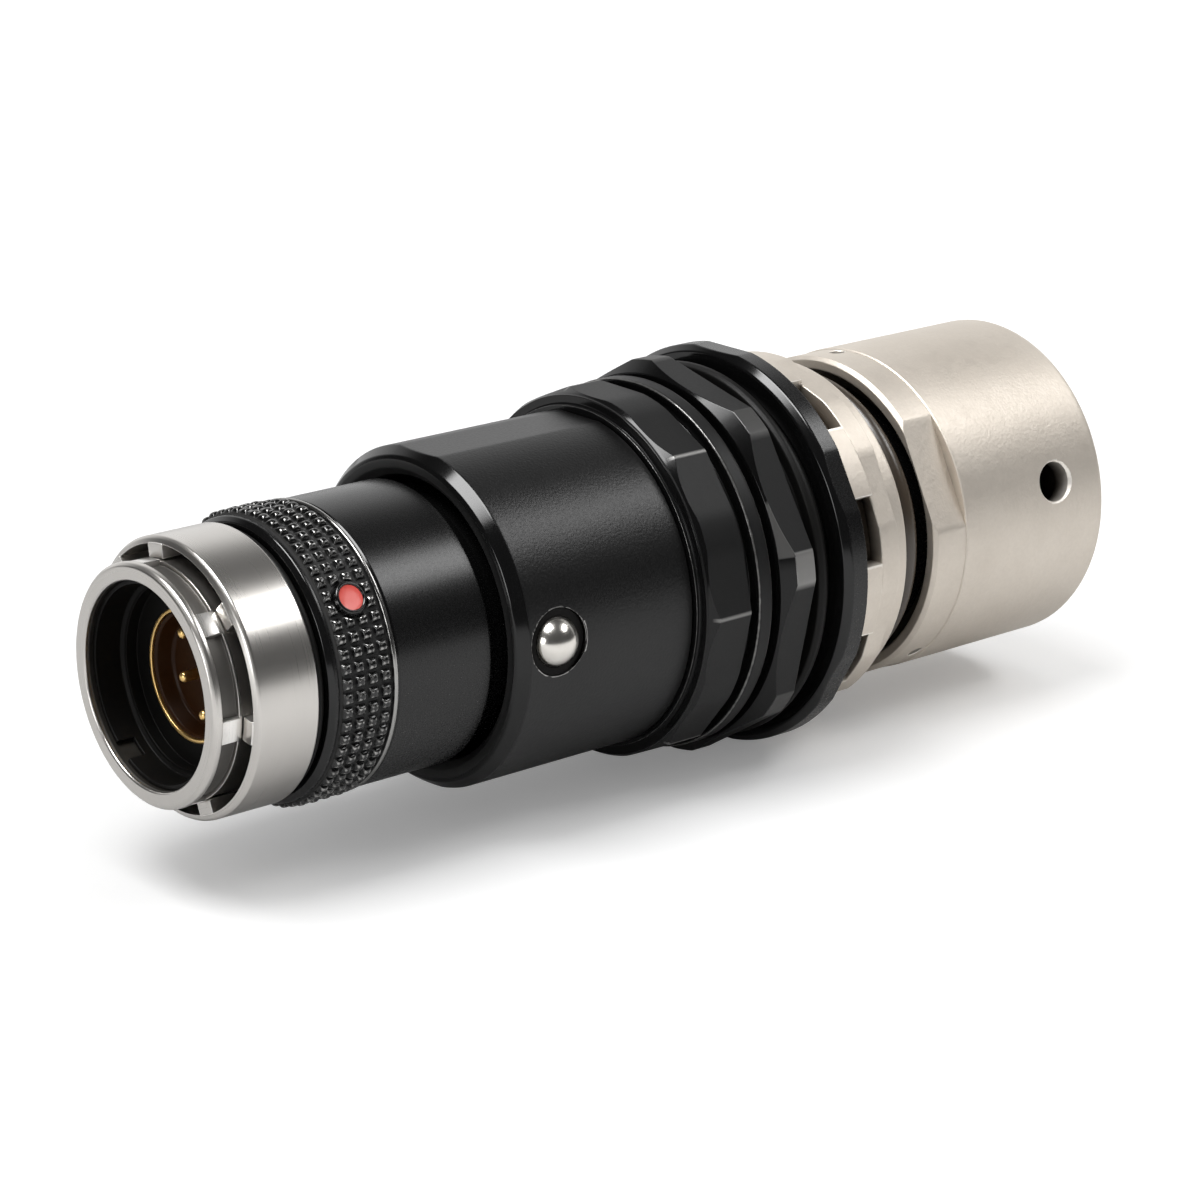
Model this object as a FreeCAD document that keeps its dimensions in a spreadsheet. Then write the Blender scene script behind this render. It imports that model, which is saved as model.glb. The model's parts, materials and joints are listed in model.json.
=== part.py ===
import FreeCAD, Part
import Sketcher
import math
import os

# Push-pull circular connector, in millimetres.
# +X runs along the axis from the mating face to the cable end, and +Z is up.
# The origin is the centre of the mating face. A place along the axis is called a station.
# An angle round the axis is counted from +Z towards -Y.

# Driving sizes. Each one is set here once, and the rest of the part follows.
SIZES = {
    # running, seating and screwed fits between turned pieces
    "running_gap": 0.05,
    "fit_gap": 0.02,
    "seat_gap": 0.1,
    "edge_break": 0.15,
    # nose tube
    "nose_radius": 8.5,
    "nose_wall": 1.25,
    "nose_bevel": 0.28,
    "liner_seat_depth": 6.0,
    "nose_relief": 0.25,
    "rim_length": 0.65,
    "recess_depth": 0.45,
    "recess_rear": 2.0,
    "ridge_step": 0.14,
    "ridge_width": 0.25,
    "spigot_step": 0.7,
    "spigot_length": 5.5,
    # collar with pockets round the nose
    "collar_setback": 2.6,
    "collar_length": 4.9,
    "collar_height": 1.35,
    "collar_wall": 0.5,
    "collar_rim_lead": 0.2,
    "collar_floor": 1.0,
    "ledge_depth": 2.0,
    "ledge_height": 0.22,
    "spoke_lead": 0.3,
    "spoke_width": 1.7,
    # seal and step ring behind the collar
    "seal_section": 0.33,
    "seal_ring_step": 0.7,
    "seal_space": 0.78,
    "step_ring_width": 0.6,
    "step_ring_wall": 1.55,
    "step_ring_bevel": 0.35,
    # grip with raised blocks
    "grip_length": 4.75,
    "grip_wall": 2.0,
    "grip_bore_step": 1.1,
    "block_height": 0.3,
    "block_pitch": 1.04,
    "row_groove": 0.36,
    "slot_width": 0.38,
    "slot_count": 63,
    "row_count": 4,
    "grip_rim_width": 0.3,
    "dot_radius": 0.9,
    "dot_boss_wall": 0.3,
    "dot_depth": 0.5,
    "dot_angle": 54.5,
    # sleeve that slides back to release the lock
    "release_wall": 1.8,
    "release_travel": 2.5,
    "release_rear": 28.4,
    "waist_setback": 0.9,
    "waist_slope": 0.35,
    "cam_land": 0.5,
    # barrel that carries everything
    "core_step": 0.1,
    "core_collar_wall": 0.5,
    "core_bore_step": 1.9,
    "thread_wall": 1.7,
    "neck_step": 1.8,
    "neck_reach": 4.6,
    "spring_room": 5.6,
    "spring_wire": 0.5,
    "spring_turns": 4,
    # housing
    "sleeve_front": 22.5,
    "sleeve_length": 15.6,
    "sleeve_step": 0.4,
    "sleeve_bevel": 0.55,
    "sleeve_bevel_length": 1.0,
    "sleeve_mouth": 0.55,
    "sleeve_flat_angle": 10,
    # ball in the housing
    "ball_station": 25.9,
    "ball_angle": 86.6,
    "ball_radius": 1.85,
    "ball_lift": 1.25,
    "ball_drop": 0.5,
    "bush_radius": 2.4,
    "bush_sunk": 0.35,
    # front nut
    "front_nut_length": 4.2,
    "front_nut_wall": 1.55,
    "front_nut_crown": 0.4,
    "front_nut_angle": 0.8,
    "front_nut_sides": 14,
    "front_nut_step": 0.3,
    "front_nut_bevel": 0.75,
    # thrust washer
    "washer_length": 2.7,
    "washer_hub_wall": 0.9,
    "washer_disc_wall": 1.9,
    "washer_disc_width": 1.3,
    # rear nut
    "rear_nut_length": 2.7,
    "rear_nut_wall": 2.1,
    "rear_nut_crown": 0.75,
    "rear_nut_angle": 58.0,
    "nut_chamfer": 0.9,
    # gasket
    "gasket_length": 2.8,
    "gasket_wall": 1.2,
    "gasket_rib_wall": 2.2,
    "gasket_rib_width": 1.0,
    # largest ring
    "flange_length": 2.0,
    "flange_wall": 3.0,
    "flange_crown": 0.2,
    "flange_chamfer": 0.5,
    "foot_angle": 180.0,
    # slotted nut
    "castle_length": 4.7,
    "castle_band": 1.8,
    "castle_wall": 1.75,
    "castle_floor_wall": 0.35,
    "castle_band_wall": 1.1,
    "castle_band_crown": 0.55,
    "castle_slot_width": 5.0,
    "castle_slot_angle": 76.0,
    "castle_slots": 8,
    "castle_facet_angle": 63.5,
    # thin ring and neck seal
    "lock_ring_length": 1.7,
    "lock_ring_wall": 0.9,
    "lock_ring_bevel": 0.4,
    "neck_groove": 3.1,
    "neck_seal_section": 0.75,
    # clamp collar
    "clamp_length": 3.2,
    "clamp_wall": 2.3,
    "clamp_rim_wall": 1.15,
    "clamp_rim_depth": 1.4,
    "clamp_rim_bevel": 0.3,
    "clamp_flat_depth": 0.8,
    "clamp_flat_angle": 62.6,
    "clamp_hole_radius": 0.6,
    "clamp_hole_setback": 0.8,
    "clamp_hole_angle": -5.0,
    "clamp_hole_step": 72.0,
    "top_angle": 0.0,
    # back end
    "backshell_length": 15.1,
    "backshell_lip": 0.1,
    "backshell_side": 1.6,
    "backshell_wall": 3.0,
    "backshell_bevel": 0.5,
    "entry_room": 2.3,
    "cross_hole_setback": 5.2,
    "cross_hole_angle": 76.0,
    "cross_hole_radius": 1.55,
    "cross_hole_bevel": 0.25,
    # cable clamp and grommet
    "cable_radius": 4.2,
    "cable_room": 0.3,
    "grommet_flange": 1.5,
    "grommet_flange_room": 2.1,
    "clamp_collet_room": 1.6,
    "clamp_collet_taper": 1.8,
    "collet_slot": 0.8,
    "collet_slots": 6,
    # contact block
    "liner_front": 0.7,
    "liner_wall": 0.35,
    "liner_step_depth": 2.9,
    "liner_step_wall": 0.8,
    "block_face": 3.8,
    "dish_depth": 1.2,
    "dish_rim": 0.3,
    "keyway_width": 1.6,
    "keyway_depth": 1.3,
    "keyway_angle": -146.0,
    "shield_radius": 4.72,
    "shield_wall": 0.3,
    "shield_proud": 0.2,
    "shield_rear": 14.0,
    "carrier_flange": 2.5,
    "insulator_length": 3.6,
    "retainer_length": 2.5,
    "retainer_bore_radius": 5.2,
    "pin_radius": 0.38,
    "pin_tip": 3.0,
    "pin_circle": 3.1,
    "pin_cup_radius": 0.6,
    "pin_rear": 26.0,
    "pin_step_angle": 67.0,
}

# Stations and fits that follow from the driving sizes.
DERIVED = {
    "nose_bore_radius": "nose_radius - nose_wall",
    "core_bore_radius": "nose_radius - core_bore_step",
    "throat_radius": "core_bore_radius",
    "recess_radius": "nose_radius - recess_depth",
    "ridge_radius": "nose_radius - ridge_step",
    "ridge_rear": "recess_rear + ridge_width",
    "liner_bore_radius": "nose_bore_radius - liner_wall",
    "liner_step_radius": "nose_bore_radius - liner_step_wall",
    "spigot_radius": "nose_radius - spigot_step",
    "core_radius": "nose_radius + core_step",
    "collar_radius": "nose_radius + collar_height",
    "seal_ring_radius": "nose_radius + seal_ring_step",
    "step_ring_radius": "nose_radius + step_ring_wall",
    "grip_radius": "nose_radius + grip_wall",
    "grip_bore_radius": "nose_radius + grip_bore_step",
    "release_radius": "nose_radius + release_wall",
    "core_collar_radius": "release_radius + core_collar_wall",
    "thread_radius": "release_radius + thread_wall",
    "neck_radius": "thread_radius - neck_step",
    "sleeve_radius": "thread_radius + sleeve_step",
    "front_nut_flats": "thread_radius + front_nut_wall",
    "front_nut_corner": "front_nut_flats + front_nut_crown",
    "washer_hub_radius": "thread_radius + washer_hub_wall",
    "washer_disc_radius": "thread_radius + washer_disc_wall",
    "rear_nut_flats": "thread_radius + rear_nut_wall",
    "rear_nut_corner": "rear_nut_flats + rear_nut_crown",
    "gasket_radius": "thread_radius + gasket_wall",
    "gasket_rib_radius": "thread_radius + gasket_rib_wall",
    "flange_flats": "thread_radius + flange_wall",
    "flange_radius": "flange_flats + flange_crown",
    "castle_radius": "thread_radius + castle_wall",
    "castle_floor": "thread_radius + castle_floor_wall",
    "castle_band_flats": "thread_radius + castle_band_wall",
    "castle_band_corner": "castle_band_flats + castle_band_crown",
    "lock_ring_radius": "thread_radius + lock_ring_wall",
    "clamp_radius": "neck_radius + clamp_wall",
    "clamp_rim_bore": "clamp_radius - clamp_rim_wall",
    "clamp_flats": "clamp_radius - clamp_flat_depth",
    "backshell_radius": "clamp_radius + backshell_lip",
    "backshell_cavity_radius": "backshell_radius - backshell_side",
    "entry_radius": "cable_radius + entry_room",
    "grommet_flange_radius": "backshell_cavity_radius - grommet_flange_room",
    "clamp_collet_radius": "backshell_cavity_radius - clamp_collet_room",
    "clamp_collet_tip": "clamp_collet_radius - clamp_collet_taper",
    "collar_rear": "collar_setback + collar_length",
    "collar_rim_bore": "collar_radius - collar_wall",
    "ledge_bore": "collar_rim_bore - ledge_height",
    "ledge_station": "collar_setback + ledge_depth",
    "pocket_floor": "collar_rear - collar_floor",
    "spoke_front": "collar_setback - spoke_lead",
    "spigot_rear": "collar_rear + spigot_length",
    "seal_station": "collar_rear + seal_section",
    "step_ring_front": "collar_rear + seal_space",
    "step_ring_rear": "step_ring_front + step_ring_width",
    "release_bore_radius": "core_radius + running_gap",
    "grip_rear": "step_ring_rear + grip_length",
    "grip_base_radius": "grip_radius - block_height",
    "knurl_length": "row_count * block_pitch - row_groove",
    "knurl_rear": "grip_rear - grip_rim_width - row_groove",
    "knurl_front": "knurl_rear - knurl_length",
    "dot_station": "knurl_front + knurl_length / 2",
    "ball_centre_radius": "release_radius + ball_lift",
    "cam_slope": "ball_drop / release_travel",
    "cam_radius": "ball_centre_radius - (ball_radius + fit_gap) * sqrt(1 + cam_slope ^ 2)",
    "cam_rear": "release_rear - cam_land",
    "cam_top": "cam_radius + cam_slope * (cam_rear - ball_station)",
    "cam_front": "ball_station - release_travel - fit_gap * 20",
    "waist_radius": "cam_radius - cam_slope * (ball_station - cam_front)",
    "waist_front": "sleeve_front - waist_setback",
    "sleeve_rear": "sleeve_front + sleeve_length",
    "sleeve_bore_radius": "release_radius + running_gap",
    "sleeve_flats": "sleeve_radius * cos(sleeve_flat_angle)",
    "core_collar_front": "release_rear + spring_room",
    "spring_radius": "(core_radius + sleeve_bore_radius) / 2",
    "bush_top": "sleeve_radius - bush_sunk",
    "bush_bottom": "sleeve_bore_radius + fit_gap",
    "bush_lip_radius": "sqrt(ball_radius ^ 2 - (bush_top - ball_centre_radius) ^ 2) + fit_gap",
    "front_nut_front": "sleeve_rear + seat_gap",
    "front_nut_rear": "front_nut_front + front_nut_length",
    "washer_rear": "front_nut_rear + washer_length",
    "washer_disc_front": "front_nut_rear + (washer_length - washer_disc_width) / 2",
    "rear_nut_rear": "washer_rear + rear_nut_length",
    "gasket_rear": "rear_nut_rear + gasket_length",
    "gasket_rib_front": "rear_nut_rear + (gasket_length - gasket_rib_width) / 2",
    "flange_rear": "gasket_rear + flange_length",
    "castle_rear": "flange_rear + castle_length",
    "castle_band_front": "castle_rear - castle_band",
    "lock_ring_front": "castle_rear + seat_gap",
    "lock_ring_rear": "lock_ring_front + lock_ring_length",
    "clamp_front": "lock_ring_rear + neck_groove",
    "neck_seal_station": "lock_ring_rear + neck_groove / 2",
    "neck_seal_radius": "neck_radius + neck_seal_section + fit_gap",
    "clamp_rear": "clamp_front + clamp_length",
    "clamp_hole_station": "clamp_rear - clamp_hole_setback",
    "clamp_hole_angle_1": "clamp_hole_angle",
    "clamp_hole_angle_2": "clamp_hole_angle + 2 * clamp_hole_step",
    "clamp_hole_angle_3": "clamp_hole_angle + 3 * clamp_hole_step",
    "neck_rear": "clamp_rear + neck_reach",
    "backshell_rear": "clamp_rear + backshell_length",
    "cross_hole_station": "backshell_rear - cross_hole_setback",
    "cavity_rear": "backshell_rear - backshell_wall",
    "grommet_front": "cavity_rear - grommet_flange",
    "collet_rear": "grommet_front - seat_gap",
    "block_rear": "spigot_rear + seat_gap",
    "carrier_rear": "shield_rear + carrier_flange",
    "insulator_rear": "carrier_rear + insulator_length",
    "retainer_rear": "insulator_rear + retainer_length",
    "carrier_radius": "shield_radius - shield_wall - fit_gap",
    "block_radius": "core_bore_radius - fit_gap",
}

# Spokes between the nose and the collar. Their uneven spacing is the collar's coding.
SPOKE_ANGLES = (-44, -9, 47, 98, 157, 208, 262)

doc = FreeCAD.newDocument("connector")
sheet = doc.addObject("Spreadsheet::Sheet", "Sizes")
nodes = []


def fill_sheet():
    """Write the driving sizes as numbers and the derived ones as formulas, each with its alias."""
    rows = [(name, str(value)) for name, value in SIZES.items()]
    rows += [(name, "=" + formula) for name, formula in DERIVED.items()]
    rows += [("spoke_angle_%d" % (place + 1), str(angle)) for place, angle in enumerate(SPOKE_ANGLES)]
    for row, (name, content) in enumerate(rows, start=1):
        sheet.set("A%d" % row, name)
        sheet.set("B%d" % row, content)
        sheet.setAlias("B%d" % row, name)
    doc.recompute()


def size(text):
    """Value of a sum of cells, such as 'clamp_rear - edge_break'."""
    total = 0.0
    sign = 1.0
    for word in text.split():
        if word in ("+", "-"):
            sign = 1.0 if word == "+" else -1.0
        else:
            total += sign * float(sheet.get(word))
    return total


def bound(text):
    """The same sum as an expression that reads the sheet."""
    return " ".join(word if word in ("+", "-") else "Sizes." + word for word in text.split())


def origin_feature(body, role):
    """Origin plane or axis of a body."""
    return [item for item in body.Origin.OriginFeatures if item.Role == role][0]


def pin_point(sketch, line, station, height):
    """Hold the start of a line at a station and a height that the sheet gives."""
    if station == "":
        sketch.addConstraint(Sketcher.Constraint("PointOnObject", line, 1, -2))
    else:
        place = sketch.addConstraint(Sketcher.Constraint("DistanceX", -1, 1, line, 1, size(station)))
        sketch.setExpression("Constraints[%d]" % place, bound(station))
    if height == "":
        sketch.addConstraint(Sketcher.Constraint("PointOnObject", line, 1, -1))
    else:
        place = sketch.addConstraint(Sketcher.Constraint("DistanceY", -1, 1, line, 1, size(height)))
        sketch.setExpression("Constraints[%d]" % place, bound(height))


def attached_sketch(body, name, role):
    """Empty sketch on one of the body's own origin planes."""
    sketch = body.newObject("Sketcher::SketchObject", name)
    sketch.AttachmentSupport = (origin_feature(body, role), [""])
    sketch.MapMode = "FlatFace"
    return sketch


def profile(body, corners):
    """Closed outline through corners of (station, radius), in the plane that holds the axis."""
    sketch = attached_sketch(body, body.Name + "_profile", "XZ_Plane")
    points = [FreeCAD.Vector(size(x), size(r), 0) for x, r in corners]
    lines = [Part.LineSegment(a, b) for a, b in zip(points, points[1:] + points[:1])]
    sketch.addGeometry(lines)
    last = len(lines) - 1
    for line, (x, r) in enumerate(corners):
        sketch.addConstraint(Sketcher.Constraint("Coincident", line, 2, 0 if line == last else line + 1, 1))
        pin_point(sketch, line, x, r)
    return sketch


def turned(label, corners):
    """Body of revolution about the X axis."""
    body = doc.addObject("PartDesign::Body", label)
    body.Label = label
    turning = body.newObject("PartDesign::Revolution", body.Name + "_turning")
    turning.Profile = profile(body, corners)
    turning.ReferenceAxis = (turning.Profile[0], ["H_Axis"])
    turning.Angle = 360
    body.Tip = turning
    return body


def cross_sketch(body, name, station, angle):
    """Sketch square to the axis at a station, turned by an angle so that its own up is radial."""
    sketch = attached_sketch(body, name, "YZ_Plane")
    sketch.AttachmentOffset = FreeCAD.Placement(
        FreeCAD.Vector(0, 0, size(station)), FreeCAD.Rotation(FreeCAD.Vector(0, 0, 1), size(angle)))
    sketch.setExpression("AttachmentOffset.Base.z", bound(station))
    sketch.setExpression("AttachmentOffset.Rotation.Angle", bound(angle))
    return sketch


def slot_outline(sketch, width, low, high):
    """Rectangle across the sketch's up direction, from one radius to another."""
    half = size(width) / 2
    bottom = size(low)
    top = size(high)
    points = [FreeCAD.Vector(x, y, 0) for x, y in ((-half, bottom), (half, bottom), (half, top), (-half, top))]
    sketch.addGeometry([Part.LineSegment(a, b) for a, b in zip(points, points[1:] + points[:1])])
    for line in range(4):
        sketch.addConstraint(Sketcher.Constraint("Coincident", line, 2, (line + 1) % 4, 1))
    sketch.addConstraint([Sketcher.Constraint("Horizontal", 2), Sketcher.Constraint("Vertical", 1),
                          Sketcher.Constraint("Vertical", 3), Sketcher.Constraint("Symmetric", 0, 1, 0, 2, -2)])
    for kind, ends, value in (("DistanceX", (0, 1, 0, 2), width), ("DistanceY", (-1, 1, 0, 1), low),
                              ("DistanceY", (-1, 1, 2, 1), high)):
        place = sketch.addConstraint(Sketcher.Constraint(kind, *ends, size(value)))
        sketch.setExpression("Constraints[%d]" % place, bound(value))


def extrude(body, kind, sketch, length, backwards=False):
    """Pad or pocket of a sketch; a pocket runs along +X, or outwards, when backwards is set."""
    feature = body.newObject("PartDesign::" + kind, sketch.Name + "_" + kind)
    feature.Profile = sketch
    feature.Type = "Length"
    feature.setExpression("Length", bound(length))
    feature.Reversed = backwards
    sketch.Visibility = False
    body.Tip = feature
    return feature


def repeat_round(body, feature, count):
    """Copies of one feature round the axis."""
    pattern = body.newObject("PartDesign::PolarPattern", feature.Name + "_pattern")
    pattern.Originals = [feature]
    pattern.Axis = (origin_feature(body, "X_Axis"), [""])
    pattern.Angle = 360
    pattern.setExpression("Occurrences", bound(count))
    body.Tip = pattern
    return pattern


def radial_sketch(body, name, station, angle, height, radius, inner=None):
    """Circle, or two, on a plane that faces outwards at an angle, a height away from the axis."""
    sketch = attached_sketch(body, name, "XY_Plane")
    turn = FreeCAD.Rotation(FreeCAD.Vector(1, 0, 0), size(angle))
    out = turn.multVec(FreeCAD.Vector(0, 0, size(height)))
    sketch.AttachmentOffset = FreeCAD.Placement(out, turn)
    sketch.setExpression("AttachmentOffset.Rotation.Angle", bound(angle))
    sketch.setExpression("AttachmentOffset.Base.y", "-(%s) * sin(%s)" % (bound(height), bound(angle)))
    sketch.setExpression("AttachmentOffset.Base.z", "(%s) * cos(%s)" % (bound(height), bound(angle)))
    for place, value in enumerate([radius] if inner is None else [radius, inner]):
        centre = FreeCAD.Vector(size(station), 0, 0)
        sketch.addGeometry(Part.Circle(centre, FreeCAD.Vector(0, 0, 1), size(value)))
        sketch.addConstraint(Sketcher.Constraint("PointOnObject", place, 3, -1))
        at = sketch.addConstraint(Sketcher.Constraint("DistanceX", -1, 1, place, 3, size(station)))
        sketch.setExpression("Constraints[%d]" % at, bound(station))
        wide = sketch.addConstraint(Sketcher.Constraint("Radius", place, size(value)))
        sketch.setExpression("Constraints[%d]" % wide, bound(value))
    return sketch


def combined(kind, label, base, tool):
    """Boolean of two shapes."""
    result = doc.addObject("Part::" + kind, label)
    result.Label = label
    result.Base = base
    result.Tool = tool
    result.Refine = True
    return result


def with_flats(label, blank, sides, flats, angle, front, rear):
    """Turned blank cut to a prism about the axis. Flats is the distance from the axis to a flat."""
    prism = doc.addObject("Part::Prism", label + "_prism")
    prism.Polygon = sides
    prism.setExpression("Circumradius", "%s / cos(180 / %d)" % (bound(flats), sides))
    prism.setExpression("Height", "%s - (%s)" % (bound(rear), bound(front)))
    turn = FreeCAD.Rotation(FreeCAD.Vector(1, 0, 0), size(angle) - 180 / sides)
    prism.Placement.Rotation = turn.multiply(FreeCAD.Rotation(FreeCAD.Vector(0, 1, 0), 90))
    prism.setExpression("Placement.Base.x", bound(front))
    return combined("Common", label, blank, prism)


def between_flats(label, blank, flats, angle, front, rear):
    """Turned blank cut to two opposite flats."""
    slab = doc.addObject("Part::Box", label + "_slab")
    slab.setExpression("Length", "%s - (%s)" % (bound(rear), bound(front)))
    slab.setExpression("Width", "4 * (%s)" % bound(flats))
    slab.setExpression("Height", "2 * (%s)" % bound(flats))
    slab.Placement.Rotation = FreeCAD.Rotation(FreeCAD.Vector(1, 0, 0), size(angle))
    slab.setExpression("Placement.Base.x", bound(front))
    half, turn = bound(flats), bound(angle)
    slab.setExpression("Placement.Base.y", "(%s) * (sin(%s) - 2 * cos(%s))" % (half, turn, turn))
    slab.setExpression("Placement.Base.z", "-(%s) * (cos(%s) + 2 * sin(%s))" % (half, turn, turn))
    return combined("Common", label, blank, slab)


def o_ring(label, station, radius, section):
    """Rubber ring of round section about the axis."""
    torus = doc.addObject("Part::Torus", label)
    torus.Label = label
    torus.setExpression("Radius1", bound(radius))
    torus.setExpression("Radius2", bound(section))
    torus.Placement.Rotation = FreeCAD.Rotation(FreeCAD.Vector(0, 1, 0), 90)
    torus.setExpression("Placement.Base.x", bound(station))
    return torus


def plug_shell():
    """Nose tube: rim, recesses between lands, ridge, and the spigot that screws into the barrel."""
    body = turned("plug_shell", [
        ("nose_bevel", "nose_bore_radius"),
        ("", "nose_bore_radius + nose_bevel"),
        ("", "nose_radius - nose_bevel"),
        ("nose_bevel", "nose_radius"),
        ("rim_length", "nose_radius"),
        ("rim_length", "recess_radius"),
        ("recess_rear", "recess_radius"),
        ("recess_rear", "ridge_radius"),
        ("ridge_rear", "ridge_radius"),
        ("ridge_rear", "nose_radius - nose_relief"),
        ("pocket_floor", "nose_radius - nose_relief"),
        ("pocket_floor", "nose_radius"),
        ("collar_rear", "nose_radius"),
        ("collar_rear", "spigot_radius"),
        ("spigot_rear", "spigot_radius"),
        ("spigot_rear", "throat_radius"),
        ("liner_seat_depth", "throat_radius"),
        ("liner_seat_depth", "nose_bore_radius"),
    ])
    for place in range(len(SPOKE_ANGLES)):
        land = cross_sketch(body, "land_%d" % place, "rim_length", "spoke_angle_%d" % (place + 1))
        slot_outline(land, "spoke_width", "recess_radius - nose_relief", "nose_radius - running_gap")
        extrude(body, "Pad", land, "recess_rear - rim_length")
    return body


def lock_collar():
    """Collar with a deep pocket between each two lugs. Each lug stands behind a land of the nose."""
    body = turned("lock_collar", [
        ("collar_setback - collar_rim_lead", "collar_rim_bore"),
        ("collar_setback", "collar_radius - edge_break"),
        ("collar_setback + edge_break", "collar_radius"),
        ("collar_rear - edge_break", "collar_radius"),
        ("collar_rear", "collar_radius - edge_break"),
        ("collar_rear", "nose_radius + fit_gap"),
        ("pocket_floor", "nose_radius + fit_gap"),
        ("pocket_floor", "ledge_bore"),
        ("ledge_station", "ledge_bore"),
        ("ledge_station", "collar_rim_bore"),
    ])
    for place in range(len(SPOKE_ANGLES)):
        lug = cross_sketch(body, "lug_%d" % place, "spoke_front", "spoke_angle_%d" % (place + 1))
        slot_outline(lug, "spoke_width", "ridge_radius + running_gap", "collar_rim_bore + running_gap")
        extrude(body, "Pad", lug, "pocket_floor - spoke_front")
    return body


def step_ring():
    """Bevelled ring in front of the grip."""
    return turned("step_ring", [
        ("step_ring_front", "release_bore_radius"),
        ("step_ring_front", "step_ring_radius - step_ring_bevel"),
        ("step_ring_front + step_ring_bevel", "step_ring_radius"),
        ("step_ring_rear", "step_ring_radius"),
        ("step_ring_rear", "release_bore_radius"),
    ])


def grip_ring():
    """Grip with rows of raised blocks and a boss for the dot."""
    bands = []
    for row in range(int(size("row_count"))):
        front = "knurl_front" + " + block_pitch" * row
        rear = front + " + block_pitch - row_groove"
        bands += [(front, "grip_base_radius"), (front, "grip_radius"),
                  (rear, "grip_radius"), (rear, "grip_base_radius")]
    body = turned("grip_ring", [
        ("step_ring_rear", "grip_bore_radius + fit_gap"),
        ("step_ring_rear", "grip_base_radius - edge_break"),
        ("step_ring_rear + edge_break", "grip_base_radius"),
    ] + bands + [
        ("grip_rear - grip_rim_width", "grip_base_radius"),
        ("grip_rear - grip_rim_width", "grip_radius - edge_break"),
        ("grip_rear - edge_break", "grip_radius - edge_break"),
        ("grip_rear", "grip_base_radius"),
        ("grip_rear", "grip_bore_radius + fit_gap"),
    ])
    slot = cross_sketch(body, "slot", "knurl_front", "dot_angle")
    slot_outline(slot, "slot_width", "grip_base_radius", "grip_radius + block_height")
    repeat_round(body, extrude(body, "Pocket", slot, "knurl_length", True), "slot_count")
    clearing = radial_sketch(body, "clearing", "dot_station", "dot_angle", "grip_base_radius",
                             "dot_radius + dot_boss_wall + dot_boss_wall")
    extrude(body, "Pocket", clearing, "block_height + block_height", True)
    boss = radial_sketch(body, "boss", "dot_station", "dot_angle", "grip_base_radius - block_height",
                         "dot_radius + dot_boss_wall")
    extrude(body, "Pad", boss, "block_height + block_height")
    seat = radial_sketch(body, "dot_seat", "dot_station", "dot_angle", "grip_radius - dot_depth",
                         "dot_radius + fit_gap")
    extrude(body, "Pocket", seat, "dot_depth + block_height", True)
    return body


def index_dot():
    """Painted dot, a low dome in the boss of the grip."""
    body = doc.addObject("PartDesign::Body", "index_dot")
    disc = radial_sketch(body, "dot", "dot_station", "dot_angle", "grip_radius - dot_depth", "dot_radius")
    pad = extrude(body, "Pad", disc, "dot_depth + fit_gap")
    doc.recompute()
    axis_distance = [math.hypot(edge.CenterOfMass.y, edge.CenterOfMass.z) for edge in pad.Shape.Edges]
    dome = body.newObject("PartDesign::Fillet", "dome")
    dome.Base = (pad, ["Edge%d" % (axis_distance.index(max(axis_distance)) + 1)])
    dome.setExpression("Radius", "Sizes.dot_depth / 3")
    body.Tip = dome
    return body


def release_sleeve():
    """Sliding sleeve: a seat for the grip, a plain part, and a cone that lets the ball sink."""
    return turned("release_sleeve", [
        ("step_ring_rear", "release_bore_radius"),
        ("step_ring_rear", "grip_bore_radius"),
        ("grip_rear", "grip_bore_radius"),
        ("grip_rear", "release_radius - edge_break"),
        ("grip_rear + edge_break", "release_radius"),
        ("waist_front", "release_radius"),
        ("waist_front + waist_slope", "waist_radius"),
        ("cam_front", "waist_radius"),
        ("cam_rear", "cam_top"),
        ("release_rear - edge_break", "cam_top"),
        ("release_rear", "cam_top - edge_break"),
        ("release_rear", "release_bore_radius"),
    ])


def core_tube():
    """Barrel: slide for the sleeve, collar for the housing, thread for the nuts, neck for the back end."""
    return turned("core_tube", [
        ("collar_rear", "spigot_radius + fit_gap"),
        ("collar_rear", "core_radius"),
        ("core_collar_front", "core_radius"),
        ("core_collar_front", "core_collar_radius - fit_gap"),
        ("sleeve_rear", "core_collar_radius - fit_gap"),
        ("sleeve_rear", "thread_radius"),
        ("lock_ring_rear", "thread_radius"),
        ("lock_ring_rear", "neck_radius"),
        ("neck_rear", "neck_radius"),
        ("neck_rear", "core_bore_radius"),
        ("block_rear", "core_bore_radius"),
        ("block_rear", "spigot_radius + fit_gap"),
    ])


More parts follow.
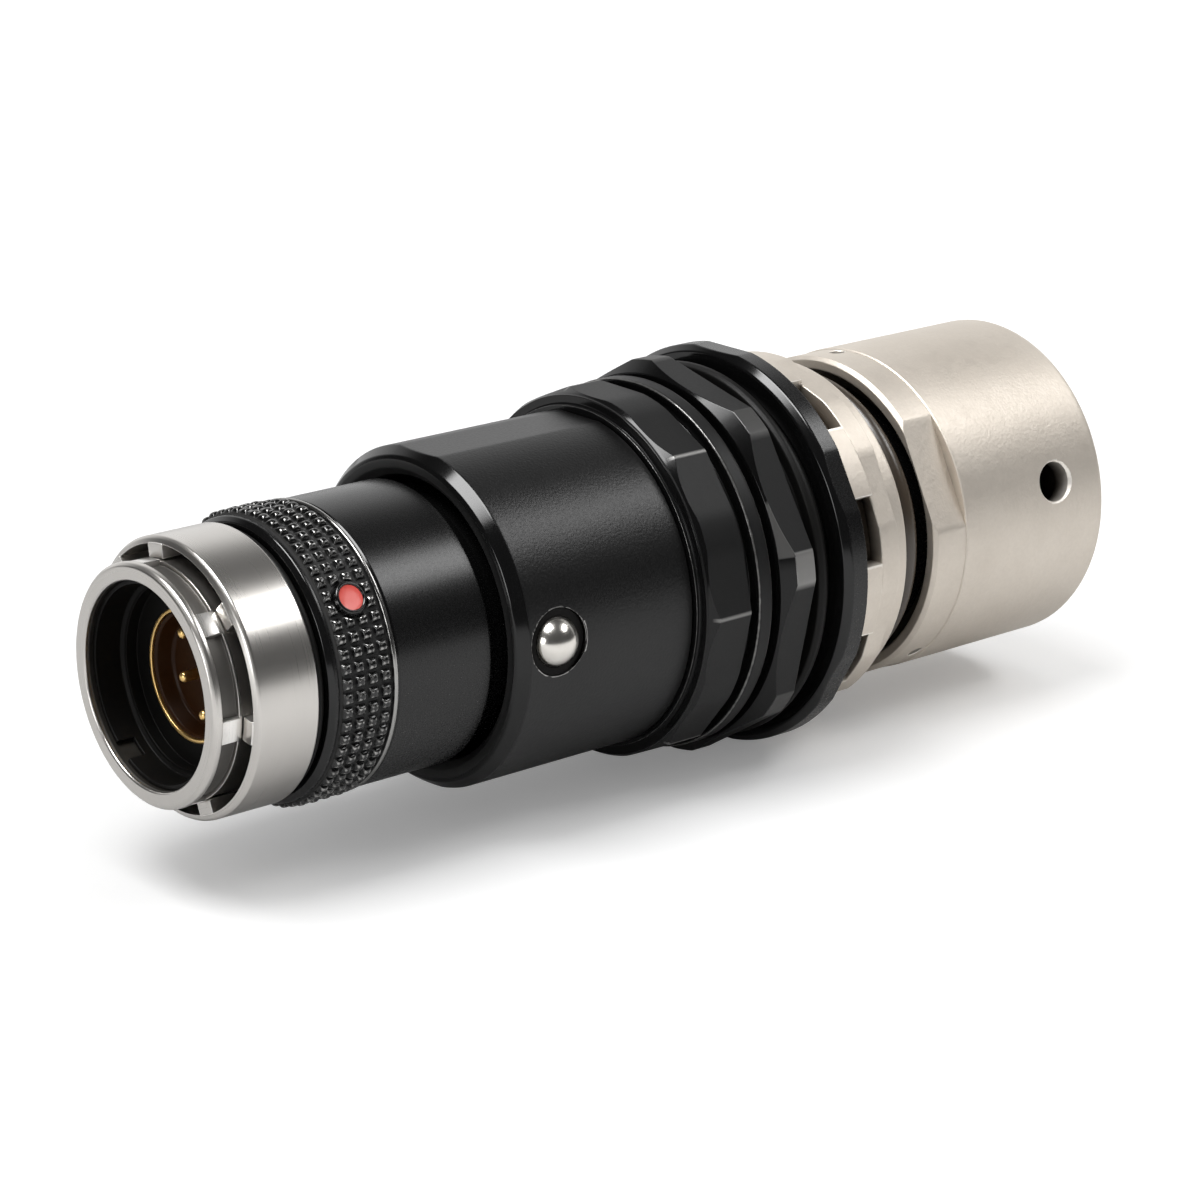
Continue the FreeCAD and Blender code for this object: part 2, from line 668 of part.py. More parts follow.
def return_spring():
    """Flat-wire compression spring between the release sleeve and the barrel's collar."""
    body = doc.addObject("PartDesign::Body", "return_spring")
    sketch = attached_sketch(body, "wire", "XZ_Plane")
    half = size("spring_wire") / 2
    start = size("release_rear") + half + size("seat_gap")
    mean = size("spring_radius")
    points = [FreeCAD.Vector(start + x * half, mean + y * half, 0) for x, y in ((-1, -1), (1, -1), (1, 1), (-1, 1))]
    sketch.addGeometry([Part.LineSegment(a, b) for a, b in zip(points, points[1:] + points[:1])])
    for line in range(4):
        sketch.addConstraint(Sketcher.Constraint("Coincident", line, 2, (line + 1) % 4, 1))
    sketch.addConstraint([Sketcher.Constraint("Horizontal", 0), Sketcher.Constraint("Horizontal", 2),
                          Sketcher.Constraint("Vertical", 1), Sketcher.Constraint("Vertical", 3)])
    for kind, ends, value in (
            ("DistanceX", (-1, 1, 0, 1), "release_rear + seat_gap"),
            ("DistanceX", (0, 1, 0, 2), "spring_wire"),
            ("DistanceY", (1, 1, 1, 2), "spring_wire")):
        place = sketch.addConstraint(Sketcher.Constraint(kind, *ends, size(value)))
        sketch.setExpression("Constraints[%d]" % place, bound(value))
    place = sketch.addConstraint(Sketcher.Constraint("DistanceY", -1, 1, 0, 1, mean - half))
    sketch.setExpression("Constraints[%d]" % place, "Sizes.spring_radius - Sizes.spring_wire / 2")
    coil = body.newObject("PartDesign::AdditiveHelix", "coil")
    coil.Profile = sketch
    coil.ReferenceAxis = (sketch, ["H_Axis"])
    coil.Mode = "height-turns-growth"
    coil.setExpression("Height", "Sizes.spring_room - Sizes.spring_wire - 2 * Sizes.seat_gap")
    coil.setExpression("Turns", "Sizes.spring_turns")
    body.Tip = coil
    return body


def outer_sleeve():
    """Housing with a bevelled mouth, two flats and the cross hole of the ball."""
    blank = turned("outer_sleeve_blank", [
        ("sleeve_front", "sleeve_bore_radius + sleeve_mouth"),
        ("sleeve_front", "sleeve_radius - sleeve_bevel"),
        ("sleeve_front + sleeve_bevel_length", "sleeve_radius"),
        ("sleeve_rear - edge_break", "sleeve_radius"),
        ("sleeve_rear", "sleeve_radius - edge_break"),
        ("sleeve_rear", "core_collar_radius"),
        ("core_collar_front", "core_collar_radius"),
        ("core_collar_front", "sleeve_bore_radius"),
        ("sleeve_front + sleeve_mouth", "sleeve_bore_radius"),
    ])
    hole = radial_sketch(blank, "ball_hole", "ball_station", "ball_angle", "nose_radius", "bush_radius + fit_gap")
    extrude(blank, "Pocket", hole, "nose_radius", True)
    return between_flats("outer_sleeve", blank, "sleeve_flats", "top_angle", "sleeve_front", "sleeve_rear")


def set_radial(item, height):
    """Stand a piece that was turned about its own X axis out along the ball's radius."""
    angle = math.radians(size("ball_angle"))
    out = FreeCAD.Vector(0, -math.sin(angle), math.cos(angle))
    turn = FreeCAD.Rotation(FreeCAD.Vector(1, 0, 0), out)
    item.Placement = FreeCAD.Placement(FreeCAD.Vector(size("ball_station"), 0, 0) + out * height, turn)


def ball_bush():
    """Bush pressed into the housing; its lip keeps the ball from falling out."""
    body = turned("ball_bush", [
        ("bush_bottom", "ball_radius + running_gap"),
        ("bush_bottom", "bush_radius"),
        ("bush_top", "bush_radius"),
        ("bush_top", "bush_lip_radius"),
        ("ball_centre_radius + running_gap", "ball_radius + running_gap"),
    ])
    set_radial(body, 0)
    return body


def detent_ball():
    """Steel ball that rests on the cone of the release sleeve."""
    ball = doc.addObject("Part::Sphere", "detent_ball")
    ball.setExpression("Radius", "Sizes.ball_radius")
    set_radial(ball, size("ball_centre_radius"))
    return ball


def front_nut():
    """Many-sided nut with two turned steps and a bevel on its front."""
    blank = turned("front_nut_blank", [
        ("front_nut_front", "thread_radius + fit_gap"),
        ("front_nut_front", "sleeve_radius + front_nut_step"),
        ("front_nut_front + front_nut_step", "sleeve_radius + front_nut_step"),
        ("front_nut_front + front_nut_step", "front_nut_flats - edge_break"),
        ("front_nut_front + front_nut_step + front_nut_step", "front_nut_flats"),
        ("front_nut_front + front_nut_step + front_nut_step + front_nut_bevel", "front_nut_corner"),
        ("front_nut_rear - edge_break", "front_nut_corner"),
        ("front_nut_rear", "front_nut_corner - edge_break"),
        ("front_nut_rear", "thread_radius + fit_gap"),
    ])
    return with_flats("front_nut", blank, int(size("front_nut_sides")), "front_nut_flats", "front_nut_angle",
                      "sleeve_rear", "front_nut_rear")


def thrust_washer():
    """Disc on a hub."""
    return turned("thrust_washer", [
        ("front_nut_rear", "thread_radius + fit_gap"),
        ("front_nut_rear", "washer_hub_radius"),
        ("washer_disc_front", "washer_hub_radius"),
        ("washer_disc_front", "washer_disc_radius - edge_break"),
        ("washer_disc_front + edge_break", "washer_disc_radius"),
        ("washer_disc_front + washer_disc_width - edge_break", "washer_disc_radius"),
        ("washer_disc_front + washer_disc_width", "washer_disc_radius - edge_break"),
        ("washer_disc_front + washer_disc_width", "washer_hub_radius"),
        ("washer_rear", "washer_hub_radius"),
        ("washer_rear", "thread_radius + fit_gap"),
    ])


def rear_nut():
    """Eight-sided nut whose corners are turned down and whose front is chamfered."""
    blank = turned("rear_nut_blank", [
        ("washer_rear", "thread_radius + fit_gap"),
        ("washer_rear", "rear_nut_flats - edge_break"),
        ("washer_rear + nut_chamfer", "rear_nut_corner"),
        ("rear_nut_rear - edge_break", "rear_nut_corner"),
        ("rear_nut_rear", "rear_nut_corner - edge_break"),
        ("rear_nut_rear", "thread_radius + fit_gap"),
    ])
    return with_flats("rear_nut", blank, 8, "rear_nut_flats", "rear_nut_angle", "washer_rear", "rear_nut_rear")


def panel_gasket():
    """Rubber ring with a sealing rib."""
    return turned("panel_gasket", [
        ("rear_nut_rear", "thread_radius + fit_gap"),
        ("rear_nut_rear", "gasket_radius"),
        ("gasket_rib_front", "gasket_radius"),
        ("gasket_rib_front", "gasket_rib_radius - edge_break"),
        ("gasket_rib_front + edge_break", "gasket_rib_radius"),
        ("gasket_rib_front + gasket_rib_width - edge_break", "gasket_rib_radius"),
        ("gasket_rib_front + gasket_rib_width", "gasket_rib_radius - edge_break"),
        ("gasket_rib_front + gasket_rib_width", "gasket_radius"),
        ("gasket_rear", "gasket_radius"),
        ("gasket_rear", "thread_radius + fit_gap"),
    ])


def flange_ring():
    """Largest ring, round with six flats, one of which is its foot."""
    blank = turned("flange_ring_blank", [
        ("gasket_rear", "thread_radius + fit_gap"),
        ("gasket_rear", "flange_radius - flange_chamfer"),
        ("gasket_rear + flange_chamfer", "flange_radius"),
        ("flange_rear - edge_break", "flange_radius"),
        ("flange_rear", "flange_radius - edge_break"),
        ("flange_rear", "thread_radius + fit_gap"),
    ])
    return with_flats("flange_ring", blank, 6, "flange_flats", "foot_angle", "gasket_rear", "flange_rear")


def castle_nut():
    """Slotted nut: a front band with tabs, and a rear band with eight facets."""
    tabs = turned("castle_nut_tabs", [
        ("flange_rear", "thread_radius + fit_gap"),
        ("flange_rear", "castle_radius - edge_break"),
        ("flange_rear + edge_break", "castle_radius"),
        ("castle_band_front - edge_break", "castle_radius"),
        ("castle_band_front", "castle_radius - edge_break"),
        ("castle_band_front", "thread_radius + fit_gap"),
    ])
    slot = cross_sketch(tabs, "castle_slot", "flange_rear", "castle_slot_angle")
    slot_outline(slot, "castle_slot_width", "castle_floor", "castle_radius + castle_band")
    repeat_round(tabs, extrude(tabs, "Pocket", slot, "castle_band_front - flange_rear", True), "castle_slots")
    band = turned("castle_nut_band_blank", [
        ("castle_band_front", "thread_radius + fit_gap"),
        ("castle_band_front", "castle_band_corner"),
        ("castle_rear - edge_break", "castle_band_corner"),
        ("castle_rear", "castle_band_corner - edge_break"),
        ("castle_rear", "thread_radius + fit_gap"),
    ])
    facets = with_flats("castle_nut_band", band, 8, "castle_band_flats", "castle_facet_angle",
                        "castle_band_front", "castle_rear")
    return combined("Fuse", "castle_nut", tabs, facets)


def lock_ring():
    """Thin bright ring that locks the slotted nut."""
    return turned("lock_ring", [
        ("lock_ring_front", "thread_radius + fit_gap"),
        ("lock_ring_front", "lock_ring_radius"),
        ("lock_ring_rear - lock_ring_bevel", "lock_ring_radius"),
        ("lock_ring_rear", "lock_ring_radius - lock_ring_bevel"),
        ("lock_ring_rear", "thread_radius + fit_gap"),
    ])


def clamp_collar():
    """Collar with a bevelled front rim, two wrench flats and pin holes."""
    blank = turned("clamp_collar_blank", [
        ("clamp_front + clamp_rim_bevel", "clamp_rim_bore"),
        ("clamp_front", "clamp_rim_bore + clamp_rim_bevel"),
        ("clamp_front", "clamp_radius - clamp_rim_bevel"),
        ("clamp_front + clamp_rim_bevel", "clamp_radius"),
        ("clamp_rear", "clamp_radius"),
        ("clamp_rear", "neck_radius + fit_gap"),
        ("clamp_front + clamp_rim_depth", "neck_radius + fit_gap"),
        ("clamp_front + clamp_rim_depth", "clamp_rim_bore"),
    ])
    for place in (1, 2, 3):
        hole = radial_sketch(blank, "pin_hole_%d" % place, "clamp_hole_station", "clamp_hole_angle_%d" % place,
                             "neck_radius", "clamp_hole_radius")
        extrude(blank, "Pocket", hole, "neck_radius", True)
    return between_flats("clamp_collar", blank, "clamp_flats", "clamp_flat_angle", "clamp_front", "clamp_rear")


def backshell():
    """Back end: screwed on the neck, hollow for the wires, with one cross hole."""
    body = turned("backshell", [
        ("clamp_rear", "neck_radius + fit_gap"),
        ("clamp_rear", "backshell_radius - edge_break"),
        ("clamp_rear + edge_break", "backshell_radius"),
        ("backshell_rear - backshell_bevel", "backshell_radius"),
        ("backshell_rear", "backshell_radius - backshell_bevel"),
        ("backshell_rear", "entry_radius + backshell_bevel"),
        ("backshell_rear - backshell_bevel", "entry_radius"),
        ("cavity_rear", "entry_radius"),
        ("cavity_rear", "backshell_cavity_radius"),
        ("neck_rear", "backshell_cavity_radius"),
        ("neck_rear", "neck_radius + fit_gap"),
    ])
    hole = radial_sketch(body, "cross_hole", "cross_hole_station", "cross_hole_angle", "neck_radius",
                         "cross_hole_radius")
    bored = extrude(body, "Pocket", hole, "neck_radius", True)
    doc.recompute()
    turn = FreeCAD.Rotation(FreeCAD.Vector(1, 0, 0), size("cross_hole_angle"))
    out = turn.multVec(FreeCAD.Vector(0, 0, size("backshell_radius")))
    mouth = FreeCAD.Vector(size("cross_hole_station"), 0, 0) + out
    near = [edge.CenterOfMass.distanceToPoint(mouth) for edge in bored.Shape.Edges]
    bevel = body.newObject("PartDesign::Chamfer", "cross_hole_edge")
    bevel.Base = (bored, ["Edge%d" % (near.index(min(near)) + 1)])
    bevel.setExpression("Size", "Sizes.cross_hole_bevel")
    body.Tip = bevel
    return body


def cable_clamp():
    """Split collet that grips the cable."""
    body = turned("cable_clamp", [
        ("neck_rear + seat_gap", "cable_radius + cable_room"),
        ("neck_rear + seat_gap", "clamp_collet_radius"),
        ("neck_rear + spigot_length - grommet_flange", "clamp_collet_radius"),
        ("collet_rear", "clamp_collet_tip"),
        ("collet_rear", "cable_radius + cable_room"),
    ])
    slot = cross_sketch(body, "collet_slot_outline", "neck_rear + grommet_flange", "top_angle")
    slot_outline(slot, "collet_slot", "throat_radius - cable_radius", "backshell_radius")
    repeat_round(body, extrude(body, "Pocket", slot, "collet_rear - neck_rear", True), "collet_slots")
    return body


def cable_grommet():
    """Rubber bush in the cable entry."""
    return turned("cable_grommet", [
        ("grommet_front", "cable_radius"),
        ("grommet_front", "grommet_flange_radius"),
        ("cavity_rear - fit_gap", "grommet_flange_radius"),
        ("cavity_rear - fit_gap", "entry_radius - fit_gap"),
        ("backshell_rear - backshell_bevel", "entry_radius - fit_gap"),
        ("backshell_rear - backshell_bevel", "cable_radius + edge_break"),
        ("backshell_rear - backshell_bevel - edge_break", "cable_radius"),
    ])


def insert_liner():
    """Moulded liner of the bore, with a step ring and a keyway through it."""
    body = turned("insert_liner", [
        ("liner_front", "liner_bore_radius"),
        ("liner_front", "nose_bore_radius - fit_gap"),
        ("liner_seat_depth", "nose_bore_radius - fit_gap"),
        ("liner_seat_depth", "shield_radius + fit_gap"),
        ("block_face", "shield_radius + fit_gap"),
        ("block_face", "liner_step_radius"),
        ("liner_step_depth", "liner_step_radius"),
        ("liner_step_depth", "liner_bore_radius"),
    ])
    keyway = cross_sketch(body, "keyway", "liner_front", "keyway_angle")
    slot_outline(keyway, "keyway_width", "liner_step_radius", "nose_radius")
    extrude(body, "Pocket", keyway, "keyway_depth", True)
    return body


def shield_ring():
    """Thin ring round the contact carrier."""
    return turned("shield_ring", [
        ("block_face - shield_proud", "shield_radius - shield_wall"),
        ("block_face - shield_proud", "shield_radius"),
        ("shield_rear", "shield_radius"),
        ("shield_rear", "shield_radius - shield_wall"),
    ])


def contact_places():
    """Placements of the contacts: one on the axis, the others on a circle, a fixed step apart."""
    spots = [FreeCAD.Vector(0, 0, 0)]
    for step in range(3):
        angle = math.radians(step * size("pin_step_angle"))
        spots.append(FreeCAD.Vector(0, -math.sin(angle), math.cos(angle)) * size("pin_circle"))
    return spots


def drilled(label, body, radius, front, rear):
    """Piece with a hole for each contact."""
    drills = []
    for place, spot in enumerate(contact_places()):
        drill = doc.addObject("Part::Cylinder", "%s_drill_%d" % (label, place))
        drill.setExpression("Radius", bound(radius))
        drill.setExpression("Height", "%s - (%s)" % (bound(rear), bound(front)))
        turn = FreeCAD.Rotation(FreeCAD.Vector(0, 1, 0), 90)
        drill.Placement = FreeCAD.Placement(spot, turn)
        drill.setExpression("Placement.Base.x", bound(front))
        drills.append(drill)
    group = doc.addObject("Part::MultiFuse", label + "_drills")
    group.Shapes = drills
    return combined("Cut", label, body, group)


def contact_carrier():
    """Insulator that shows round the pins, with a flange that the screwed ring holds."""
    body = turned("contact_carrier_blank", [
        ("block_face + dish_depth", ""),
        ("block_face + dish_depth", "carrier_radius - dish_rim - dish_rim"),
        ("block_face", "carrier_radius - dish_rim"),
        ("block_face", "carrier_radius"),
        ("shield_rear + fit_gap", "carrier_radius"),
        ("shield_rear + fit_gap", "block_radius"),
        ("carrier_rear", "block_radius"),
        ("carrier_rear", ""),
    ])
    return drilled("contact_carrier", body, "pin_radius + fit_gap", "block_face", "carrier_rear")


def rear_insulator():
    """Back half of the contact block."""
    body = turned("rear_insulator_blank", [
        ("carrier_rear", ""),
        ("carrier_rear", "block_radius"),
        ("insulator_rear", "block_radius"),
        ("insulator_rear", ""),
    ])
    return drilled("rear_insulator", body, "pin_cup_radius + fit_gap", "carrier_rear", "insulator_rear")


def insert_retainer():
    """Screwed ring behind the contact block."""
    return turned("insert_retainer", [
        ("insulator_rear", "retainer_bore_radius"),
        ("insulator_rear", "block_radius"),
        ("retainer_rear", "block_radius"),
        ("retainer_rear", "retainer_bore_radius"),
    ])


def contact_pins():
    """Round-nosed pins with a solder cup behind, one for each place."""
    pins = []
    for place, spot in enumerate(contact_places()):
        pin = turned("contact_pin_%d" % place, [
            ("pin_tip", ""),
            ("pin_tip", "pin_radius - edge_break"),
            ("pin_tip + edge_break", "pin_radius"),
            ("carrier_rear + fit_gap", "pin_radius"),
            ("carrier_rear + fit_gap", "pin_cup_radius"),
            ("pin_rear", "pin_cup_radius"),
            ("pin_rear", "pin_radius"),
            ("pin_rear - retainer_length", "pin_radius"),
            ("pin_rear - retainer_length", ""),
        ])
        pin.Placement.Base = spot
        pins.append(pin)
    group = doc.addObject("Part::Compound", "contact_pins")
    group.Links = pins
    return group


def check_and_write():
    """Stop at a failed object, then write each node to its own file."""
    for item in doc.Objects:
        if "Invalid" in item.State or "Error" in item.State:
            raise RuntimeError("%s failed: %s" % (item.Label, item.State))
    for item in nodes:
        if item.Shape.isNull() or not item.Shape.isValid():
            raise RuntimeError(item.Label + " has no valid shape")
    for item in nodes:
        item.Shape.exportStep("parts/%s.step" % item.Label)
        print("%-16s %2d solid %9.2f mm3" % (item.Label, len(item.Shape.Solids), item.Shape.Volume))


fill_sheet()
os.makedirs("parts", exist_ok=True)

for make in (
        plug_shell, lock_collar, step_ring, grip_ring, index_dot, release_sleeve, core_tube,
        return_spring, outer_sleeve, ball_bush, detent_ball, front_nut, thrust_washer, rear_nut,
        panel_gasket, flange_ring, castle_nut, lock_ring, clamp_collar, backshell, cable_clamp,
        cable_grommet, insert_liner, shield_ring, contact_carrier, rear_insulator, insert_retainer,
        contact_pins):
    nodes.append(make())
nodes.append(o_ring("front_seal", "seal_station", "seal_ring_radius", "seal_section"))
nodes.append(o_ring("neck_seal", "neck_seal_station", "neck_seal_radius", "neck_seal_section"))

doc.recompute()
check_and_write()
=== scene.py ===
# %% [markdown]
# # Dressing a push-pull circular connector
#
# The imported CAD model is the frame of this lesson. It already has every piece at its real size and place, in metres,
# with +X from the mating face to the cable end and +Z up. Here most of its visible pieces are made again as fine
# surfaces with broken edges, and each gets the finish of the real metal, rubber or enamel.

# The dressed one may not outgrow it.

# %% Load the frame
import json
import math

import bmesh
import bpy
import numpy as np
from mathutils import Matrix, Vector

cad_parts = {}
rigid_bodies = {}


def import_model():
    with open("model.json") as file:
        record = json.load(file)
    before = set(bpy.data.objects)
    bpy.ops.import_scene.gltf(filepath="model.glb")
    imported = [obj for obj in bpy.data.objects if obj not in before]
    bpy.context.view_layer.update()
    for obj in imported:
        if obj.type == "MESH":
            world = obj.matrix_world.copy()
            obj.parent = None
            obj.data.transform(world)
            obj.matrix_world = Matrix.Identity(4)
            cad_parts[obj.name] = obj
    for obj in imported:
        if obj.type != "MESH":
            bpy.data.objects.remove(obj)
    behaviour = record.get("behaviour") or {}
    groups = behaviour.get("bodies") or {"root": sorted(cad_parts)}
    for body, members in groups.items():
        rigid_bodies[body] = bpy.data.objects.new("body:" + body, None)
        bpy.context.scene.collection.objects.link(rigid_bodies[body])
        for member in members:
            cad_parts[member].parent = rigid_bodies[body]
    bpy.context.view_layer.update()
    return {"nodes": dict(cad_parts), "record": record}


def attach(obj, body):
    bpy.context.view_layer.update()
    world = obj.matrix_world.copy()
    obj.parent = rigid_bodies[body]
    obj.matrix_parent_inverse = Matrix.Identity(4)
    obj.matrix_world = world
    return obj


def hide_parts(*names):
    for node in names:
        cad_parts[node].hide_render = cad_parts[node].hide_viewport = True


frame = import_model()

print("nodes in the frame:", len(frame["nodes"]))

# %% [markdown]
# ## One way to write every shape
#
# Nearly all of this connector came off a lathe. So one function carries a closed outline round the X axis, and the
# outline may change with the angle: that gives the flats of a nut, the tabs of a slotted nut and the blocks of a
# grip as easily as a plain ring. All sizes are written in millimetres and scaled once, when the mesh is made.
#
# Angles run from straight up towards the camera's side, which is -Y.

# %% Grids to meshes
MM = 0.001
SAME_POINT, NO_LENGTH = 0.0005 * MM, 0.0002 * MM


def around(x, r, turn):
    """Points P = (x, -r sin a, r cos a) round the X axis, with the turn a in radians."""
    return np.stack([x, -r * np.sin(turn), r * np.cos(turn)], -1)


def mesh_from_grid(name, grid, close_u=True, close_v=True):
    """Mesh of P(u, v) sampled on a grid of shape (U, V, 3) in millimetres, one quad for each cell.

    The surface is closed along u or v where the grid meets itself. Where the volume sum of p . (q x r) over the
    triangles comes out negative, the quads are wound the other way, so faces always point outwards.
    """
    rows, columns = grid.shape[:2]
    u = np.arange(rows if close_u else rows - 1)
    v = np.arange(columns if close_v else columns - 1)
    a, b = np.meshgrid(u, v, indexing="ij")
    next_a, next_b = (a + 1) % rows, (b + 1) % columns
    quads = np.stack([a * columns + b, next_a * columns + b,
                      next_a * columns + next_b, a * columns + next_b], -1).reshape(-1, 4)
    points = grid.reshape(-1, 3) * MM
    p, q, r, s = (points[quads[:, k]] for k in range(4))
    volume = (np.einsum("ij,ij->i", p, np.cross(q, r)) + np.einsum("ij,ij->i", p, np.cross(r, s))).sum()
    if volume < 0:
        quads = quads[:, ::-1]
    mesh = bpy.data.meshes.new(name)
    mesh.vertices.add(len(points))
    mesh.vertices.foreach_set("co", points.astype(np.float32).ravel())
    mesh.loops.add(quads.size)
    mesh.loops.foreach_set("vertex_index", quads.astype(np.int32).ravel())
    mesh.polygons.add(len(quads))
    mesh.polygons.foreach_set("loop_start", np.arange(0, quads.size, 4, dtype=np.int32))
    mesh.polygons.foreach_set("use_smooth", np.ones(len(quads), bool))
    mesh.update(calc_edges=True)
    mesh.validate()
    return mesh


def tidy_mesh(mesh, sharp_degrees):
    """Merges points that coincide, as at a pole, and keeps edges sharper than an angle from being shaded over."""
    work = bmesh.new()
    work.from_mesh(mesh)
    bmesh.ops.remove_doubles(work, verts=work.verts, dist=SAME_POINT)
    bmesh.ops.dissolve_degenerate(work, edges=work.edges, dist=NO_LENGTH)
    loose = [edge for edge in work.edges if not edge.link_faces]
    bmesh.ops.delete(work, geom=loose, context="EDGES")
    work.to_mesh(mesh)
    work.free()
    mesh.set_sharp_from_angle(angle=math.radians(sharp_degrees))


print("a millimetre is", MM, "of a Blender unit")

# %% [markdown]
# ## Broken edges
#
# No machined edge is a perfect corner: the tool or the tumbler leaves a small round that catches the light. An
# outline is therefore written with sharp corners, and `soften` swaps each one for a short curve. It also adds a
# point on the flat at each side of the curve, so that smooth shading stays inside the round.

# %% Outlines
TURNS = 224
FLAT_POINT = 1.35


def even_angles(count):
    """Angles 360 k / count in degrees."""
    return np.arange(count) * 360 / count


def soften(outline, size=0.08, steps=4):
    """Corners of a closed outline become quadratic curves B(t) = (1-t)^2 A + 2t(1-t) C + t^2 D.

    C is the corner, and A and D lie on its two sides, `size` away or a third of the side if that is less.
    The outline has shape (corners, 2) or (angles, corners, 2) and holds (station, radius) in millimetres.
    """
    outline = np.asarray(outline, float)
    if outline.ndim == 2:
        outline = outline[None]
    size = np.broadcast_to(np.asarray(size, float), outline.shape[1:2])[None, :, None]
    sides = [np.roll(outline, way, 1) - outline for way in (1, -1)]
    lengths = [np.linalg.norm(side, axis=-1, keepdims=True) + 1e-9 for side in sides]
    reach = np.minimum(size, np.minimum(*lengths) / 3)
    back, ahead = (side / length * reach for side, length in zip(sides, lengths))
    lead, start, corner, end, trail = ((outline + step)[:, :, None] for step in (
        back * FLAT_POINT, back, 0, ahead, ahead * FLAT_POINT))
    t = np.linspace(0, 1, steps + 1)[None, None, :, None]
    curve = (1 - t) ** 2 * start + 2 * t * (1 - t) * corner + t ** 2 * end
    return np.concatenate([lead, curve, trail], 2).reshape(outline.shape[0], -1, 2)


def fill_side(section, stations):
    """Points A + t (B - A) at the given stations on the outline's longest side AB, so the mesh is fine there."""
    place = int(np.abs(np.diff(section[..., 0], axis=1)).mean(0).argmax())
    a, b = section[:, place:place + 1], section[:, place + 1:place + 2]
    t = (np.asarray(stations, float)[None] - a[..., 0]) / (b[..., 0] - a[..., 0])
    return np.concatenate([section[:, :place + 1], a + (b - a) * t[..., None], section[:, place + 1:]], 1)


ALL_ROUND = even_angles(TURNS)


def turned(name, outline, angles=ALL_ROUND, size=0.08, steps=4, soft=True, stations=()):
    """Surface P(a, s) = (x(a, s), -r(a, s) sin a, r(a, s) cos a) of an outline carried round the X axis."""
    section = soften(outline, size, steps) if soft else np.asarray(outline, float)[None]
    if len(stations):
        section = fill_side(section, stations)
    x, r = (np.broadcast_to(section[..., part], (len(angles), section.shape[1])) for part in (0, 1))
    return mesh_from_grid(name, around(x, r, np.radians(angles)[:, None]))


print("angles round a plain ring:", TURNS)

# %% [markdown]
# ## Flats and slots
#
# A flat on a round bar is the line r = d / cos(a), where d is the distance from the axis to the flat and a is
# counted from the flat's middle. The real radius is whichever is smaller, the line's or the bar's. Extra angles are
# put at each corner, close together, so that the corner stays crisp.

# %% Angles with corners
def away_from(angles, middles):
    """Degrees from each angle to the nearest middle: the least |(a - m + 180) mod 360 - 180|."""
    turn = np.asarray(angles)[:, None] - np.asarray(middles, float)[None]
    return np.abs((turn + 180) % 360 - 180).min(1)


def near(angles, middles, half):
    """True within `half` degrees of one of the middles."""
    return away_from(angles, middles) < half


def angles_with(corners, spread, turns=TURNS):
    """Even angles, plus two at each corner, `spread` to either side of it, in degrees from 0 to 360."""
    even = even_angles(turns)
    corners = np.asarray(corners, float) % 360
    extra = np.concatenate([corners - spread, corners + spread]) % 360
    return np.unique(np.round(np.concatenate([even[away_from(even, corners) > spread * 2], extra]), 5))


def flat_radius(angles, flats, distance, limit):
    """Radius min(limit, d / cos(a - m)) of a bar of radius `limit` with flats at distance d, m the nearest middle."""
    return np.minimum(limit, distance / np.cos(np.radians(np.minimum(away_from(angles, flats), 80))))


def bar_with_flats(flats, distance, limit, spread, turns=TURNS, corners=()):
    """Angles and radii of a bar with flats. A flat runs out where its angle from the middle is acos(d / limit)."""
    flats, half = np.asarray(flats, float), math.degrees(math.acos(distance / limit))
    angles = angles_with(np.concatenate([flats - half, flats + half, corners]), spread, turns)
    return angles, flat_radius(angles, flats, distance, limit)


def varied(angles, columns):
    """Outline of shape (angles, corners, 2) from columns of (station, radius), each a number or one for each angle."""
    section = np.empty((len(angles), len(columns), 2))
    for place, (x, r) in enumerate(columns):
        section[:, place, 0] = x
        section[:, place, 1] = r
    return section


print("angles with two corners:", len(angles_with([22.5, 67.5], 0.35)))

# %% [markdown]
# ## Putting a piece in the scene
#
# Each finished mesh becomes an object at the origin. It rides on the body that carries it in the frame, hides the
# plain CAD node that it stands for, and says which finish of the record it takes.
#
# A mesh also keeps up to four numbers for each vertex, which its finish reads later. "edge" and "cut" are worked
# out from the shape. "worn" and a value of painted shade are written for single pieces: corners rubbed bare, and shade
# painted dark into pockets, bores, holes and grooves.

# %% Values in the meshes
BODY_OF = {node: body for body, members in frame["record"]["behaviour"]["bodies"].items() for node in members}
SLOT_OF = {entry["node"]: entry["material_slot"] for entry in frame["record"]["subparts"]}
pieces = {}


def read(items, name, width=3, kind=np.float32):
    """Array of one property of all vertices or edges."""
    values = np.empty(len(items) * width, kind)
    items.foreach_get(name, values)
    return values.reshape(-1, width)


def store(mesh, name, values):
    """Keeps one number for each vertex, held within 0 to 1."""
    values = np.clip(values, 0, 1).astype(np.float32)
    mesh.attributes.new(name, "FLOAT", "POINT").data.foreach_set("value", values)


